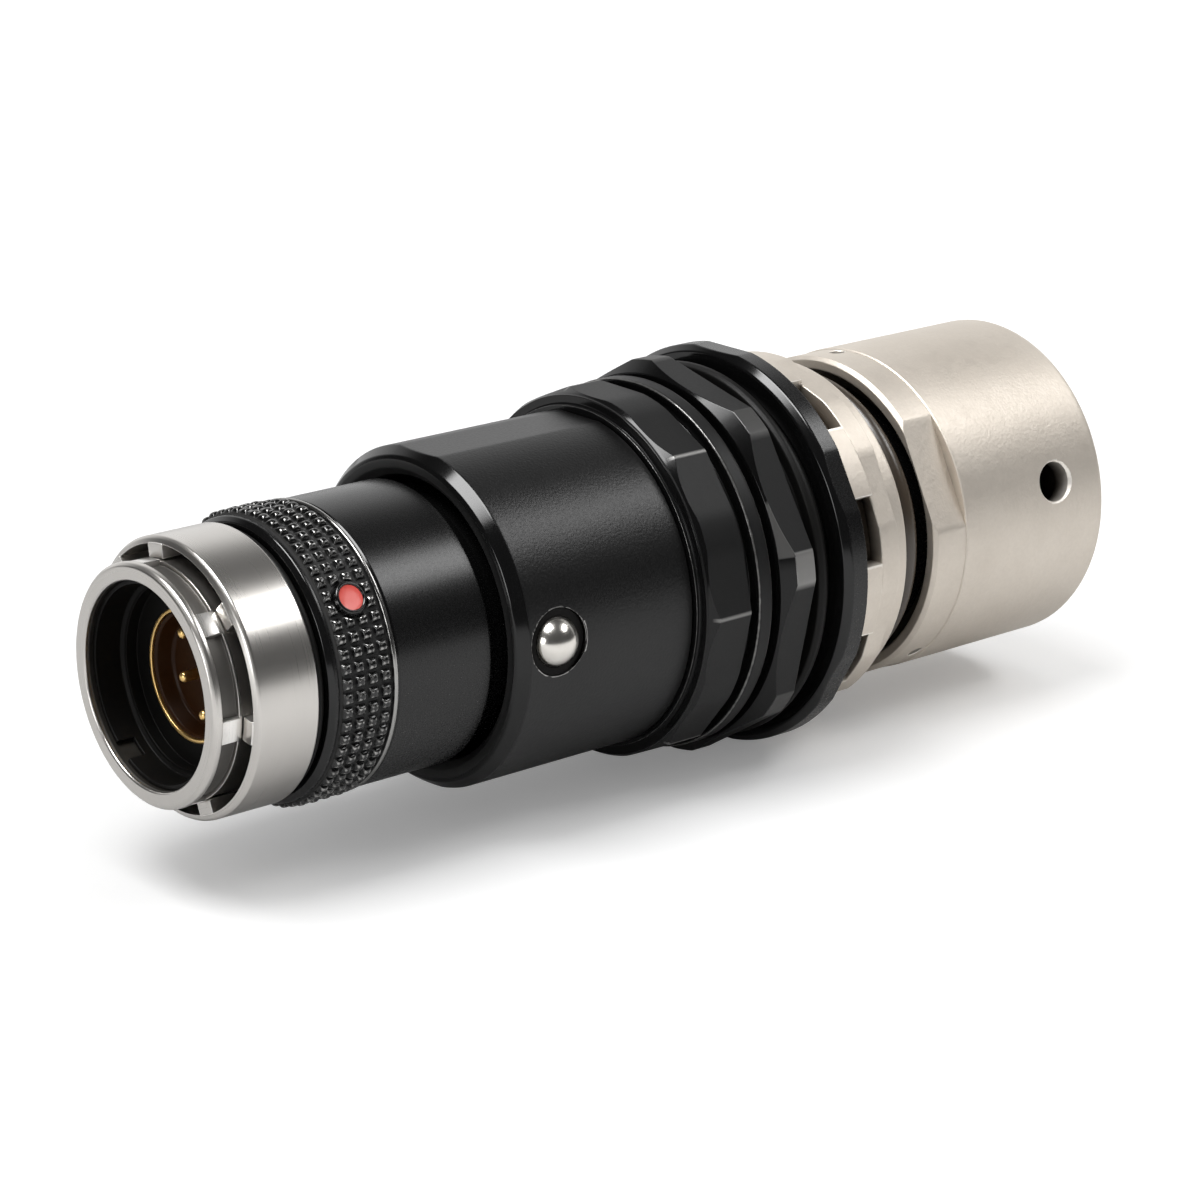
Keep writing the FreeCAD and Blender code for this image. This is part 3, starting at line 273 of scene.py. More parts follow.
def mark_edges(mesh):
    """Stores how proud each vertex stands, c = mean of n . (p - q) / |p - q| over its neighbours q, as "edge".

    On a broad turned face c is almost 0. On a broken edge it is about 0.2, so finishes can wear there. How far the
    surface leans along the axis, |n.x|, is stored as "cut": bevels and end faces are cut again after the finish.
    """
    points, normals = read(mesh.vertices, "co"), read(mesh.vertex_normals, "vector")
    ends = read(mesh.edges, "vertices", 2, np.int32)
    total, degree = np.zeros(len(points)), np.zeros(len(points))
    for here, there in (ends.T, ends.T[::-1]):
        along = points[here] - points[there]
        along /= np.linalg.norm(along, axis=1, keepdims=True) + 1e-12
        np.add.at(total, here, (normals[here] * along).sum(1))
        np.add.at(degree, here, 1)
    store(mesh, "edge", (total / np.maximum(degree, 1) - 0.03) / 0.15)
    store(mesh, "cut", (np.abs(normals[:, 0]) - 0.3) / 0.2)


def mark_places(mesh, name, amount):
    """Stores amount(x, r, angle), with x and r in millimetres and the angle in degrees."""
    x, y, z = read(mesh.vertices, "co").T / MM
    store(mesh, name, amount(x, np.hypot(y, z), np.degrees(np.arctan2(-y, z))))


print("nodes with a body:", len(BODY_OF))

# %% Pieces
def link_object(name, data):
    """New object at the origin, in the scene."""
    thing = bpy.data.objects.new(name, data)
    bpy.context.scene.collection.objects.link(thing)
    return thing


def place_piece(node, mesh, sharp_degrees=40, hollow=None, worn=None):
    """Object for a finished mesh that stands for a CAD node.

    Its two optional functions of station, radius and angle are stored in the mesh under their own names: one paints
    shade into pockets, bores and holes, and `worn` marks corners rubbed bare.
    """
    tidy_mesh(mesh, sharp_degrees)
    mark_edges(mesh)
    for name, amount in (("hollow", hollow), ("worn", worn)):
        if amount:
            mark_places(mesh, name, amount)
    piece = link_object(node + "_skin", mesh)
    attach(piece, BODY_OF[node])
    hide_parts(node)
    pieces[node] = piece
    print(f"{node}: {sum(len(face.vertices) - 2 for face in mesh.polygons)} triangles")


def place_turned(node, outline, angles=ALL_ROUND, size=0.08, steps=4, soft=True, at=None, **rest):
    """Piece that is one turned surface, on the connector's axis or standing out at a station and an angle."""
    mesh = turned(node + "_skin", outline, angles, size, steps, soft)
    place_piece(node, stand_out(mesh, *at) if at else mesh, **rest)


def join_meshes(name, meshes):
    """One mesh from several closed ones."""
    work = bmesh.new()
    for mesh in meshes:
        work.from_mesh(mesh)
    joined = bpy.data.meshes.new(name)
    work.to_mesh(joined)
    work.free()
    return joined


def drilled(mesh, *cutters):
    """The mesh less each cutter mesh, by an exact boolean."""
    body = link_object("drill_body", mesh)
    tools = [link_object("drill_tool", cutter) for cutter in cutters]
    for tool in tools:
        cut = body.modifiers.new("cut", "BOOLEAN")
        cut.operation, cut.solver, cut.object = "DIFFERENCE", "EXACT", tool
    bpy.context.view_layer.update()
    result = bpy.data.meshes.new_from_object(body.evaluated_get(bpy.context.evaluated_depsgraph_get()))
    for item in [body] + tools:
        bpy.data.objects.remove(item)
    return result


def flared_drill(radius, low, high, flare):
    """Cutter turned about X: a cylinder that opens by `flare` just below `high` and goes on 2 mm past it."""
    wide, past = radius + flare, high + 2
    outline = [(low, 0), (low, radius), (high - flare, radius), (high, wide), (past, wide), (past, 0)]
    return turned("drill", outline, even_angles(96), soft=False)


def stand_out(mesh, station, angle_degrees):
    """Moves a mesh that was turned about the X axis so that its axis points outwards at a station and an angle."""
    a = math.radians(angle_degrees)
    out, along = Vector((0, -math.sin(a), math.cos(a))), Vector((1, 0, 0))
    turn = Matrix((out, along, out.cross(along))).transposed().to_4x4()
    mesh.transform(Matrix.Translation((station * MM, 0, 0)) @ turn)
    return mesh


print("bodies:", sorted(set(BODY_OF.values())))

# %% [markdown]
# ## The nose and its collar
#
# The nose is a nickel tube with a wide rim. A collar stands round it, and between the two are deep pockets, parted
# by narrow spokes. Each spoke is really two lugs face to face: one on the nose, one on the collar, with a thin
# bright line where they meet. The spokes are not evenly spaced, because they are the plug's code.

# %% Nose tube
POCKET_FLOOR = 6.5
SPOKES = (-44, -9, 47, 98, 157, 208, 262)
SPOKE_WIDTH = 1.7
FACET = 0.25

nose_outline = [
    (0.12, 7.25), (0.0, 7.37), (0.0, 8.24), (0.26, 8.5), (0.65, 8.5), (0.65, 8.05), (2.0, 8.05), (2.0, 8.36),
    (2.25, 8.36), (2.25, 8.25), (6.5, 8.25), (6.5, 8.5), (7.5, 8.5), (7.5, 7.8), (13.0, 7.8), (13.0, 6.6), (6.0, 6.6),
    (6.0, 7.25), (0.55, 7.25)]


def block_mesh(name, x_low, x_high, r_low, r_high, angle, edge):
    """Curved block: P = (x, r sin(w / r), r cos(w / r)) turned to an angle, on the outline of a rounded box.

    The outline is a rectangle in the cross plane with softened corners. It is carried along x on a path that
    shrinks by `edge` at each end, which rounds the end faces too, and closes in a point at the middle of each end.
    """
    half, centre = np.array([SPOKE_WIDTH / 2, (r_high - r_low) / 2]), np.array([0, (r_low + r_high) / 2])
    corners = [(-half[0], r_low), (-half[0], r_high), (half[0], r_high), (half[0], r_low)]
    loop = soften(corners, edge, 3)[0]
    fine = []
    for here, there in zip(loop, np.roll(loop, -1, 0)):
        count = max(1, int(abs(there[0] - here[0]) / FACET))
        fine += [here + (there - here) * k / count for k in range(count)]
    loop = np.array(fine)
    path = [(x_low, edge * 1.5), (x_low + edge * 0.3, edge * 0.3), (x_low + edge, 0),
            (x_high - edge, 0), (x_high, edge)]
    middle = np.tile(centre, (len(loop), 1))
    shells = [(x_low, middle)] + [(x, centre + (loop - centre) * (1 - inset / half)) for x, inset in path]
    grid = np.array([np.column_stack([np.full(len(loop), x), flat]) for x, flat in shells + [(x_high, middle)]])
    across = grid[..., 1] / grid[..., 2] + math.radians(angle)
    return mesh_from_grid(name, around(grid[..., 0], grid[..., 2], across), close_u=False)


def nose_hollow(x, r, a):
    """Painted shade: black in the bore and its keyway, dark in the groove and under the collar."""
    groove = ((x > 0.64) & (r < 8.2)) | ((x > 2.3) & (r < 8.4))
    return np.where(r < 7.3, 3 * (x > 0.4), 0.8 * groove)


lands = [block_mesh("land", 0.5, 2.1, 7.95, 8.45, a, 0.05) for a in SPOKES]
nose = turned("plug_shell_skin", nose_outline, size=[.06, .06, .1, .12, .1, .06, .06] + [.04] * 2 + [.06] * 10)
place_piece("plug_shell", join_meshes("plug_shell_skin", [nose] + lands), hollow=nose_hollow)

# %% Collar
COLLAR_REAR, COLLAR_R, COLLAR_RIM = 7.5, 9.85, 9.35
collar_outline = [
    (2.4, COLLAR_RIM), (2.58, 9.68), (2.76, COLLAR_R), (7.34, COLLAR_R), (COLLAR_REAR, 9.7), (COLLAR_REAR, 8.52),
    (POCKET_FLOOR, 8.52), (POCKET_FLOOR, 9.13), (4.6, 9.13), (4.6, COLLAR_RIM)]
lugs = [block_mesh("lug", 2.3, POCKET_FLOOR + 0.1, 8.41, 9.42, a, 0.06) for a in SPOKES]
collar = turned("lock_collar_skin", collar_outline, size=[.06, .08, .1, .1, .08, .05, .05, .05, .05, .05])
# Painted shade: the pockets between the spokes are darkened.
place_piece("lock_collar", join_meshes("lock_collar_skin", [collar] + lugs),
            hollow=lambda x, r, a: 0.8 * ((x > 2.5) & (r < 9.45)))

# %% [markdown]
# ## Inside the nose
#
# A black moulded liner fills the bore. It has a raised ring at the front with a keyway through it, then a step. At
# its end a thin gilt ring stands round the dished amber insulator, and the gilt pins stand out of the dish.

# %% Liner, gilt ring and insulator
KEYWAY = -146
KEY_HALF = 6.6
liner_angles = angles_with([KEYWAY - KEY_HALF, KEYWAY + KEY_HALF], 0.2)
liner_front = np.where(near(liner_angles, [KEYWAY], KEY_HALF), 2.0, 0.7)
liner = varied(liner_angles, [
    (liner_front, 6.9), (liner_front, 7.23), (6.0, 7.23), (6.0, 4.74), (3.8, 4.74), (3.8, 6.45), (2.9, 6.45),
    (2.9, 6.62), (2.72, 6.9)])
# Painted shade: the liner darkens with depth, from 0.9 mm into the bore.
place_turned("insert_liner", liner, liner_angles, 0.07, hollow=lambda x, r, a: (x - 0.9) / 0.8)

place_turned("shield_ring", [(3.6, 4.42), (3.6, 4.72), (14.0, 4.72), (14.0, 4.42)], size=0.12)

# This outline starts and ends on the axis. Its corners there are left sharp, so that the surface closes.
ON_AXIS = 1e-6
place_turned("contact_carrier", [
    (5.0, 0.0), (5.0, 3.6), (4.85, 3.8), (3.9, 4.15), (3.8, 4.4), (14.0, 4.4), (14.0, 6.58), (16.5, 6.58),
    (16.5, 0.0)], size=[ON_AXIS] + [0.06] * 7 + [ON_AXIS], steps=3)

# %% Pins
PIN_R, CUP_R = 0.38, 0.6
PIN_TIP, PIN_DOME = 3.0, 0.32
PIN_CIRCLE = 3.1
PIN_STEP = 67


def pin_mesh(y, z):
    """Pin turned about its own axis: a domed tip r = R sqrt(1 - (1 - x/L)^2), then a plain shank and a solder cup."""
    t = np.linspace(0, 1, 9)
    dome = np.column_stack([PIN_TIP + PIN_DOME * t, PIN_R * np.sqrt(1 - (1 - t) ** 2)])
    outline = np.vstack([dome, [(16.5, PIN_R), (16.52, CUP_R), (26.0, CUP_R), (26.0, PIN_R), (23.5, PIN_R), (23.5, 0)]])
    mesh = turned("pin", outline, even_angles(28), soft=False)
    mesh.transform(Matrix.Translation((0, y * MM, z * MM)))
    return mesh


# One pin stands on the axis and three on a circle, at 0, 67 and 134 degrees.
pin_turns = np.radians(np.arange(3) * PIN_STEP)
pin_places = np.vstack([[0, 0], np.column_stack([-np.sin(pin_turns), np.cos(pin_turns)]) * PIN_CIRCLE])
place_piece("contact_pins", join_meshes("contact_pins_skin", [pin_mesh(y, z) for y, z in pin_places]))

# %% [markdown]
# ## The grip
#
# The black grip ring is cut into four rows of small raised blocks. They are not modelled one by one: the radius is
# a height field over the angle and the station, r = base + h * B(angle) * B(station), where B goes from 0 in a
# groove to 1 on a block. With B = (1 - |t|^3)^0.7 a block is a small pillow, whose rounded side catches the light.

# %% Grip
GRIP_FRONT, GRIP_REAR = 8.88, 13.63
GRIP_BASE, GRIP_TOP = 10.14, 10.5
BLOCKS = 63
BLOCK_HEIGHT = 0.36
ROW_PITCH, ROW_GROOVE, ROWS = 1.04, 0.36, 4
KNURL_REAR = GRIP_REAR - 0.3 - ROW_GROOVE
KNURL_FRONT = KNURL_REAR - (ROWS * ROW_PITCH - ROW_GROOVE)
DOT_X = (KNURL_FRONT + KNURL_REAR) / 2
DOT_ANGLE = 54.5
DOT_R = 0.9
DOT_AT = (DOT_X, DOT_ANGLE)
CLEAR_FROM, CLEAR_TO = DOT_R + 0.3, DOT_R + 0.62
dice = np.random.default_rng(7)


def grip_grid():
    """Grid of the grip: base radius plus block height where both B(angle) and B(station) are above 0.

    Each block has its own small shift round the ring, height and lean. The blocks sink away near the dot, by
    3t^2 - 2t^3 with t going from 0 to 1 between two distances from its middle.
    """
    pitch = 360 / BLOCKS
    parts = np.array([-0.5, -0.4, -0.36, -0.31, -0.25, -0.17, -0.08, 0.0, 0.08, 0.17, 0.25, 0.31, 0.36, 0.4])
    angles = (np.arange(BLOCKS)[:, None] * pitch + parts[None] * pitch).reshape(-1, 1)
    wave_u = np.tile(np.maximum(1 - np.abs(parts / 0.4) ** 3, 0) ** 0.7, BLOCKS)[:, None]
    side = np.tile(parts, BLOCKS)[:, None] * 2
    block = np.repeat(np.arange(BLOCKS), len(parts))[:, None]
    length = ROW_PITCH - ROW_GROOVE
    steps_v = np.array([-0.1, -0.04, 0.03, 0.1, 0.19, 0.3, 0.5, 0.7, 0.81, 0.9, 0.97, 1.04, 1.1])
    stations = (KNURL_FRONT + np.arange(ROWS)[:, None] * ROW_PITCH + steps_v[None] * length).reshape(1, -1)
    wave_v = np.tile(np.maximum(1 - np.abs((steps_v - 0.5) / 0.56) ** 3.5, 0) ** 0.7, ROWS)[None]
    row = np.repeat(np.arange(ROWS), len(steps_v))[None]
    shift = dice.normal(0, 0.045, (BLOCKS, ROWS))
    height = BLOCK_HEIGHT + dice.normal(0, 0.022, (BLOCKS, ROWS))
    lean = dice.normal(0, 0.03, (BLOCKS, ROWS))
    angle = angles + shift[block, row] * pitch * wave_u * 0.6
    bump = height[block, row] * wave_u * wave_v + lean[block, row] * wave_u * wave_v * side
    over = (stations - DOT_X) ** 2 + (np.radians((angle - DOT_ANGLE + 180) % 360 - 180) * GRIP_TOP) ** 2
    t = np.clip((np.sqrt(over) - CLEAR_FROM) / (CLEAR_TO - CLEAR_FROM), 0, 1)
    bump *= t * t * (3 - 2 * t)
    lip = np.array([
        (GRIP_FRONT, 9.62), (GRIP_FRONT, 9.9), (GRIP_FRONT + 0.06, 9.99), (GRIP_FRONT + 0.2, 10.17),
        (GRIP_FRONT + 0.28, GRIP_BASE)])
    tail = np.array([
        (KNURL_REAR + 0.2, GRIP_BASE), (GRIP_REAR - 0.42, GRIP_BASE), (GRIP_REAR - 0.38, 10.24),
        (GRIP_REAR - 0.34, 10.36), (GRIP_REAR - 0.24, 10.41), (GRIP_REAR - 0.12, 10.4), (GRIP_REAR - 0.04, 10.33),
        (GRIP_REAR, 10.2), (GRIP_REAR, 10.0), (GRIP_REAR, 9.62)])
    bands = ((lip[None, :, 0], stations, tail[None, :, 0]),
             (lip[None, :, 1], GRIP_BASE + bump, tail[None, :, 1]),
             (np.repeat(angles, len(lip), 1), angle, np.repeat(angles, len(tail), 1)))
    x, r, turn = (np.concatenate([np.broadcast_to(part, (len(angles), part.shape[1])) for part in band], 1)
                  for band in bands)
    return around(x, r, np.radians(turn))


grip = mesh_from_grid("grip_ring_skin", grip_grid())
boss = turned("boss", [(10.0, 0.92), (10.6, 0.92), (10.66, 1.0), (10.6, 1.14), (10.35, 1.24), (10.0, 1.28)],
              even_angles(64), 0.05, 3)
stand_out(boss, *DOT_AT)
# Painted shade: the grooves between the blocks are darkened, fading out 0.12 mm up the blocks.
place_piece("grip_ring", join_meshes("grip_ring_skin", [grip, boss]), 60, lambda x, r, a: (GRIP_BASE + 0.14 - r) / 0.12)

# %% Index dot
t = np.linspace(0, 1, 13)
enamel_top = np.column_stack([10.5 + 0.05 * t ** 4, DOT_R * t])
dot_outline = np.vstack([enamel_top, [(10.05, DOT_R), (10.05, 0)]])
place_turned("index_dot", dot_outline, even_angles(64), soft=False, at=DOT_AT)

# %% [markdown]
# ## Rings and the sliding sleeve
#
# The two rubber seals are tori. The bevelled ring, the grip and the sleeve move together: they slide back against
# the spring to unlock the plug, so they ride on their own body.

# %% Seals, step ring and release sleeve
for node, station, radius, section in (("front_seal", 7.83, 9.2, 0.32), ("neck_seal", 60.65, 10.97, 0.75)):
    v = np.arange(28) / 28 * 2 * np.pi
    seal = np.column_stack([station + section * np.cos(v), radius + section * np.sin(v)])
    place_turned(node, seal, soft=False)

place_turned("step_ring", [(8.28, 8.65), (8.28, 9.7), (8.63, 10.05), (8.87, 10.05), (8.87, 8.65)],
             size=[.05, .06, .09, .05, .05])

SLEEVE_R, NECK_R, SKIRT_R = 10.3, 9.063, 10.043
place_turned("release_sleeve", [
    (8.88, 8.65), (8.88, 9.6), (13.64, 9.6), (13.64, 10.2), (13.8, SLEEVE_R), (21.6, SLEEVE_R), (21.95, NECK_R),
    (23.0, NECK_R), (27.9, SKIRT_R), (28.3, SKIRT_R), (28.4, 9.95), (28.4, 8.65)], size=[.05] * 5 + [.14] + [.05] * 6)

# %% [markdown]
# ## The housing and its ball
#
# The housing is a tube with two flats, at the top and at the bottom, and a bevelled mouth. A bush is pressed into a
# cross hole, and a polished ball stands in it. The hole is a boolean cut, with a flared edge that catches the light.

# %% Housing
MOUTH_X, MOUTH_BEVEL = 22.5, 0.88
HOUSING_R = 12.4
HOUSING_FLAT = HOUSING_R * math.cos(math.radians(10))
BALL_AT = (25.9, 86.6)
BUSH_R = 2.4
housing_angles, skin_r = bar_with_flats([0, 180], HOUSING_FLAT, HOUSING_R, 0.25, 256)
bevel_x = MOUTH_X + MOUTH_BEVEL - (HOUSING_R - skin_r)
housing = varied(housing_angles, [
    (MOUTH_X, 10.9), (MOUTH_X, 11.5), (22.62, 11.78), (bevel_x, skin_r), (38.02, skin_r), (38.1, skin_r - 0.1),
    (38.1, 10.8), (34.0, 10.8), (34.0, 10.35), (23.05, 10.35)])
housing = turned("outer_sleeve_skin", housing, housing_angles, [.1, .1, .08, .1, .05, .05, .05, .05, .05, .05],
                 stations=np.arange(23.9, 37.9, 0.35))
ball_hole = stand_out(flared_drill(BUSH_R + 0.02, 8.5, 12.35, 0.05), *BALL_AT)
# Painted shade: the bore and the deep wall of the ball hole, inside 11.6 mm, are darkened.
place_piece("outer_sleeve", drilled(housing, ball_hole), 35, lambda x, r, a: (11.6 - r) / 0.3)

# %% Bush and ball
BALL_R, BALL_OUT = 1.85, 11.55
place_turned("ball_bush", [(10.4, 1.9), (10.4, BUSH_R), (12.05, BUSH_R), (12.05, 1.8), (11.6, 1.9)], even_angles(96),
             0.05, 3, at=BALL_AT)
t = np.radians(np.linspace(0, 180, 49))
ball_outline = np.column_stack([BALL_OUT - BALL_R * np.cos(t), BALL_R * np.sin(t)])
place_turned("detent_ball", ball_outline, even_angles(96), soft=False, at=BALL_AT)

# %% [markdown]
# ## Nuts, washers and rings on the thread
#
# Two nuts clamp a disc between them. The turned chamfer at a nut's front is a cone. Where the cone meets a flat, the
# edge is the familiar arc, and it comes from one line: the cone ends at the station where its radius equals the
# flat's radius at that angle.
#
# The rear nut has eight sides. The front nut has fourteen, and every second corner is blunt. A blunt corner is a
# soft minimum of the flats and a circle, R - log(1 + e^(k (R - r))) / k, which has no sharp edge anywhere.

# %% Front nut
THREAD = 12.02
NUT_SIDES = 14
FRONT_FLAT, FRONT_CORNER, BLUNT_R, BLUNT_K = 13.55, 13.95, 13.66, 40
NUT_FLATS = even_angles(NUT_SIDES) + 0.8
CRISP = even_angles(7) + 39.4
front_angles = angles_with(CRISP, 0.25)
flat_r = flat_radius(front_angles, NUT_FLATS, FRONT_FLAT, FRONT_CORNER)
blunt_r = BLUNT_R - np.logaddexp(0, (BLUNT_R - flat_r) * BLUNT_K) / BLUNT_K
flat_r = np.where(near(front_angles, CRISP, 180 / NUT_SIDES), flat_r, blunt_r)
front_nut = varied(front_angles, [
    (38.2, THREAD), (38.2, 12.7), (38.44, 12.7), (38.5, 12.86), (38.5, 13.4), (38.66, 13.44),
    (38.8, np.minimum(flat_r, FRONT_FLAT) - 0.02), (38.8 + (flat_r - FRONT_FLAT) * 1.9 + 0.02, flat_r),
    (42.34, flat_r), (42.4, flat_r - 0.1), (42.4, THREAD)])
place_turned("front_nut", front_nut, front_angles, 0.05, sharp_degrees=14,
             worn=lambda x, r, a: 0.6 * near(a, CRISP, 0.4) * (r > 13.6))

# %% Thrust washer
place_turned("thrust_washer", [
    (42.42, THREAD), (42.42, 12.9), (43.1, 12.9), (43.1, 13.9), (44.4, 13.9), (44.4, 12.9), (45.08, 12.9),
    (45.08, THREAD)], size=[.05, .05, .1, .22, .22, .1, .05, .05])

# %% Rear nut
REAR_FLATS = even_angles(8) + 58.0
CONE_R = 13.95
rear_angles, flat_r = bar_with_flats(REAR_FLATS, 14.1, 14.85, 0.25, corners=REAR_FLATS + 22.5)
rear_nut = varied(rear_angles, [
    (45.1, THREAD), (45.1, CONE_R), (45.1 + np.maximum(flat_r - CONE_R, 0.02), flat_r), (47.72, flat_r),
    (47.8, flat_r - 0.08), (47.8, THREAD)])


def rear_worn(x, r, a):
    """Corners are rubbed a little, the one at 80.5 degrees more, and so is a strip of the cone near 69 degrees."""
    corners = np.where(near(a, [80.5], 6), 0.7, 0.15) * (r > 14.81)
    return corners + 0.35 * near(a, [69], 8) * (r > 13.97) * (x < r + 31.18)


place_turned("rear_nut", rear_nut, rear_angles, 0.05, sharp_degrees=14, worn=rear_worn)

# %% Gasket
place_turned("panel_gasket", [
    (47.82, THREAD), (47.82, 13.2), (48.7, 13.2), (48.76, 14.0), (49.1, 14.2), (49.4, 14.2), (49.7, 14.0),
    (49.76, 13.2), (50.58, 13.2), (50.58, THREAD)], size=.15)

# %% Largest ring
ring_angles, flat_r = bar_with_flats(even_angles(6) + 180, 15.0, 15.19, 0.3)
flange = varied(ring_angles, [
    (50.6, THREAD), (50.6, 14.7), (50.6 + flat_r - 14.7, flat_r), (52.54, flat_r), (52.6, flat_r - 0.1),
    (52.6, THREAD)])
place_turned("flange_ring", flange, ring_angles, [.05, .1, .1, .06, .05, .05], sharp_degrees=24)

# %% [markdown]
# ## The slotted nut and the thin ring
#
# The slotted nut has eight tabs. At each slot's edge the outline jumps from the tab's radius to the slot's floor, so
# two angles a quarter of a degree apart stand at every edge.

# %% Slotted nut
SLOT_MIDDLES = even_angles(8) + 31.0
SLOT_HALF, SLOT_FLOOR = 10.6, 12.37
slot_edges = np.concatenate([SLOT_MIDDLES - SLOT_HALF, SLOT_MIDDLES + SLOT_HALF])
castle_angles = angles_with(np.concatenate([slot_edges, SLOT_MIDDLES + 10.0]), 0.12)
in_slot = near(castle_angles, SLOT_MIDDLES, SLOT_HALF)
tab_r, tab_rear_r = np.where(in_slot, SLOT_FLOOR, 13.75), np.where(in_slot, SLOT_FLOOR, 13.67)
band_r = flat_radius(castle_angles, SLOT_MIDDLES + 32.5, 13.34, 13.65)
castle = varied(castle_angles, [
    (52.6, THREAD), (52.6, tab_r - 0.02), (52.68, tab_r), (55.42, tab_r), (55.5, tab_rear_r),
    (55.5, band_r - 0.06), (55.56, band_r), (57.24, band_r), (57.3, band_r - 0.06), (57.3, THREAD)])
# Painted shade: the slot floors and the faces near the thread are darkened.
place_turned("castle_nut", castle, castle_angles, 0.04, 2, sharp_degrees=24, hollow=lambda x, r, a: (13.0 - r) / 0.5)

# %% Thin ring
place_turned("lock_ring", [(57.4, THREAD), (57.4, 12.9), (58.7, 12.9), (59.1, 12.5), (59.1, THREAD)],
             size=[.05, .1, .12, .1, .05])

# %% [markdown]
# ## The back end
#
# The clamp collar has two wrench flats, a bevelled rim and three pin holes. The shell behind it is closed by a wall
# with the cable's rubber bush. Its cross hole is deep and its edge is countersunk.

# %% Clamp collar
COLLAR_FLATS = [62.6, 242.6]
PIN_HOLES = (-5, 139, 211)
RIM_X, RIM_R = 62.2, 12.2
clamp_angles, flat_r = bar_with_flats(COLLAR_FLATS, 11.7, 12.5, 0.2, 256)
clamp = varied(clamp_angles, [
    (62.5, 11.35), (RIM_X, np.minimum(11.55, flat_r - 0.06)), (RIM_X, np.minimum(RIM_R, flat_r - 0.02)),
    (RIM_X + np.maximum(flat_r - RIM_R, 0.02), flat_r), (65.38, flat_r), (65.4, flat_r - 0.04),
    (65.4, 10.24), (63.6, 10.24), (63.6, 11.35)])
clamp = turned("clamp_collar_skin", clamp, clamp_angles, [.06, .08, .06, .06, .03, .03, .05, .05, .05],
               stations=np.arange(62.8, 65.3, 0.2))
pin_drills = [stand_out(flared_drill(0.6, 9.5, 12.5, 0.06), 64.6, a) for a in PIN_HOLES]


def clamp_hollow(x, r, a):
    """Painted shade: dark in the pin holes and in the bore, and a little darker inside the rim next to the flats."""
    holes = (12.49 - r) / 0.04 * ((x > 63.85) & (x < 65.37))
    flats = 0.3 * ((r < 12.47) & (x < 65.37))
    return np.where(near(a, COLLAR_FLATS, 24), flats, holes) + (11.6 - r) / 0.3


place_piece("clamp_collar", drilled(clamp, *pin_drills), 30, clamp_hollow)

# %% Back shell
SHELL_R = 12.6
shell_outline = [
    (65.4, 10.24), (65.4, 12.5), (65.52, SHELL_R), (80.5, SHELL_R), (80.5, 7.0), (80.1, 6.5), (77.5, 6.5), (77.5, 11.0),
    (70.0, 11.0), (70.0, 10.24)]
shell = turned("backshell_skin", shell_outline, even_angles(256),
               [.05, .06, .06, .55, .15, .1, .05, .05, .05, .05], 5, stations=np.arange(66.0, 79.7, 0.35))
cross_hole = stand_out(flared_drill(1.55, 9.5, SHELL_R, 0.22), 75.3, 76)
# Painted shade: darker deeper than 12.3 mm, in the cross hole and the bore, but not on the end face.
place_piece("backshell", drilled(shell, cross_hole), 35, lambda x, r, a: (x < 80) * (12.3 - r) / 0.6)

# %% Cable bush
place_turned("cable_grommet", [
    (76.0, 4.2), (76.0, 8.9), (77.48, 8.9), (77.48, 6.48), (79.8, 6.48), (80.25, 6.1), (80.25, 4.9), (79.9, 4.2)],
    size=[.1, .1, .1, .1, .25, .15, .25, .3])
print("pieces so far:", len(pieces))

# %% [markdown]
# ## Shared effects
#
# Four effects are used by several finishes, so each is a node group with its own inputs. Lathe marks are noise that
# changes along the axis and the radius but not round the turn. Grain is the same in every direction. Wear follows
# the "edge" value in each mesh, broken up by noise. Pocket shade is painted shade: it follows the stored shade value,
# which darkens pockets, bores, holes and grooves.

# %% Node helpers
RELIEF = 0.02 * MM


def add_node(tree, kind, inputs=None, **settings):
    """Node with its settings and inputs. An input is given a value, or the socket that feeds it."""
    node = tree.nodes.new(kind)
    for name, value in settings.items():
        setattr(node, name, value)
    for name, value in (inputs or {}).items():
        set_input(tree, node.inputs[name], value)
    return node


def set_input(tree, socket, value):
    """Links the socket if the value is a socket too, or else sets it."""
    if isinstance(value, bpy.types.NodeSocket):
        tree.links.new(value, socket)
    else:
        socket.default_value = value


def calc(tree, operation, a, b, clamp=False):
    """Result of one Math node."""
    return add_node(tree, "ShaderNodeMath", {0: a, 1: b}, operation=operation, use_clamp=clamp).outputs[0]


def vector_calc(tree, operation, *vectors):
    """Outputs of one Vector Math node."""
    return add_node(tree, "ShaderNodeVectorMath", dict(enumerate(vectors)), operation=operation).outputs


def split(tree, vector):
    """The x, y and z of a vector."""
    return add_node(tree, "ShaderNodeSeparateXYZ", {0: vector}).outputs


def blend_value(tree, mask, low, high):
    """low + mask (high - low)."""
    return add_node(tree, "ShaderNodeMapRange", {"Value": mask, "To Min": low, "To Max": high}).outputs[0]


def smooth_mask(tree, value, start, end):
    """3t^2 - 2t^3 with t going from 0 at the start to 1 at the end."""
    return add_node(tree, "ShaderNodeMapRange", {"Value": value, "From Min": start, "From Max": end},
                    interpolation_type="SMOOTHSTEP").outputs[0]


def mix_colour(tree, mask, first, second):
    """Mix of two colours by a mask. A colour is a socket, or its red, green and blue."""
    first, second = ((*tone, 1) if isinstance(tone, tuple) else tone for tone in (first, second))
    return add_node(tree, "ShaderNodeMix", {0: mask, 6: first, 7: second}, data_type="RGBA").outputs[2]


def object_place(tree):
    """Place in the object's own metres."""
    return add_node(tree, "ShaderNodeTexCoord").outputs["Object"]


def stored(tree, name):
    """Value kept in the mesh under a name."""
    return add_node(tree, "ShaderNodeAttribute", attribute_name=name).outputs["Fac"]


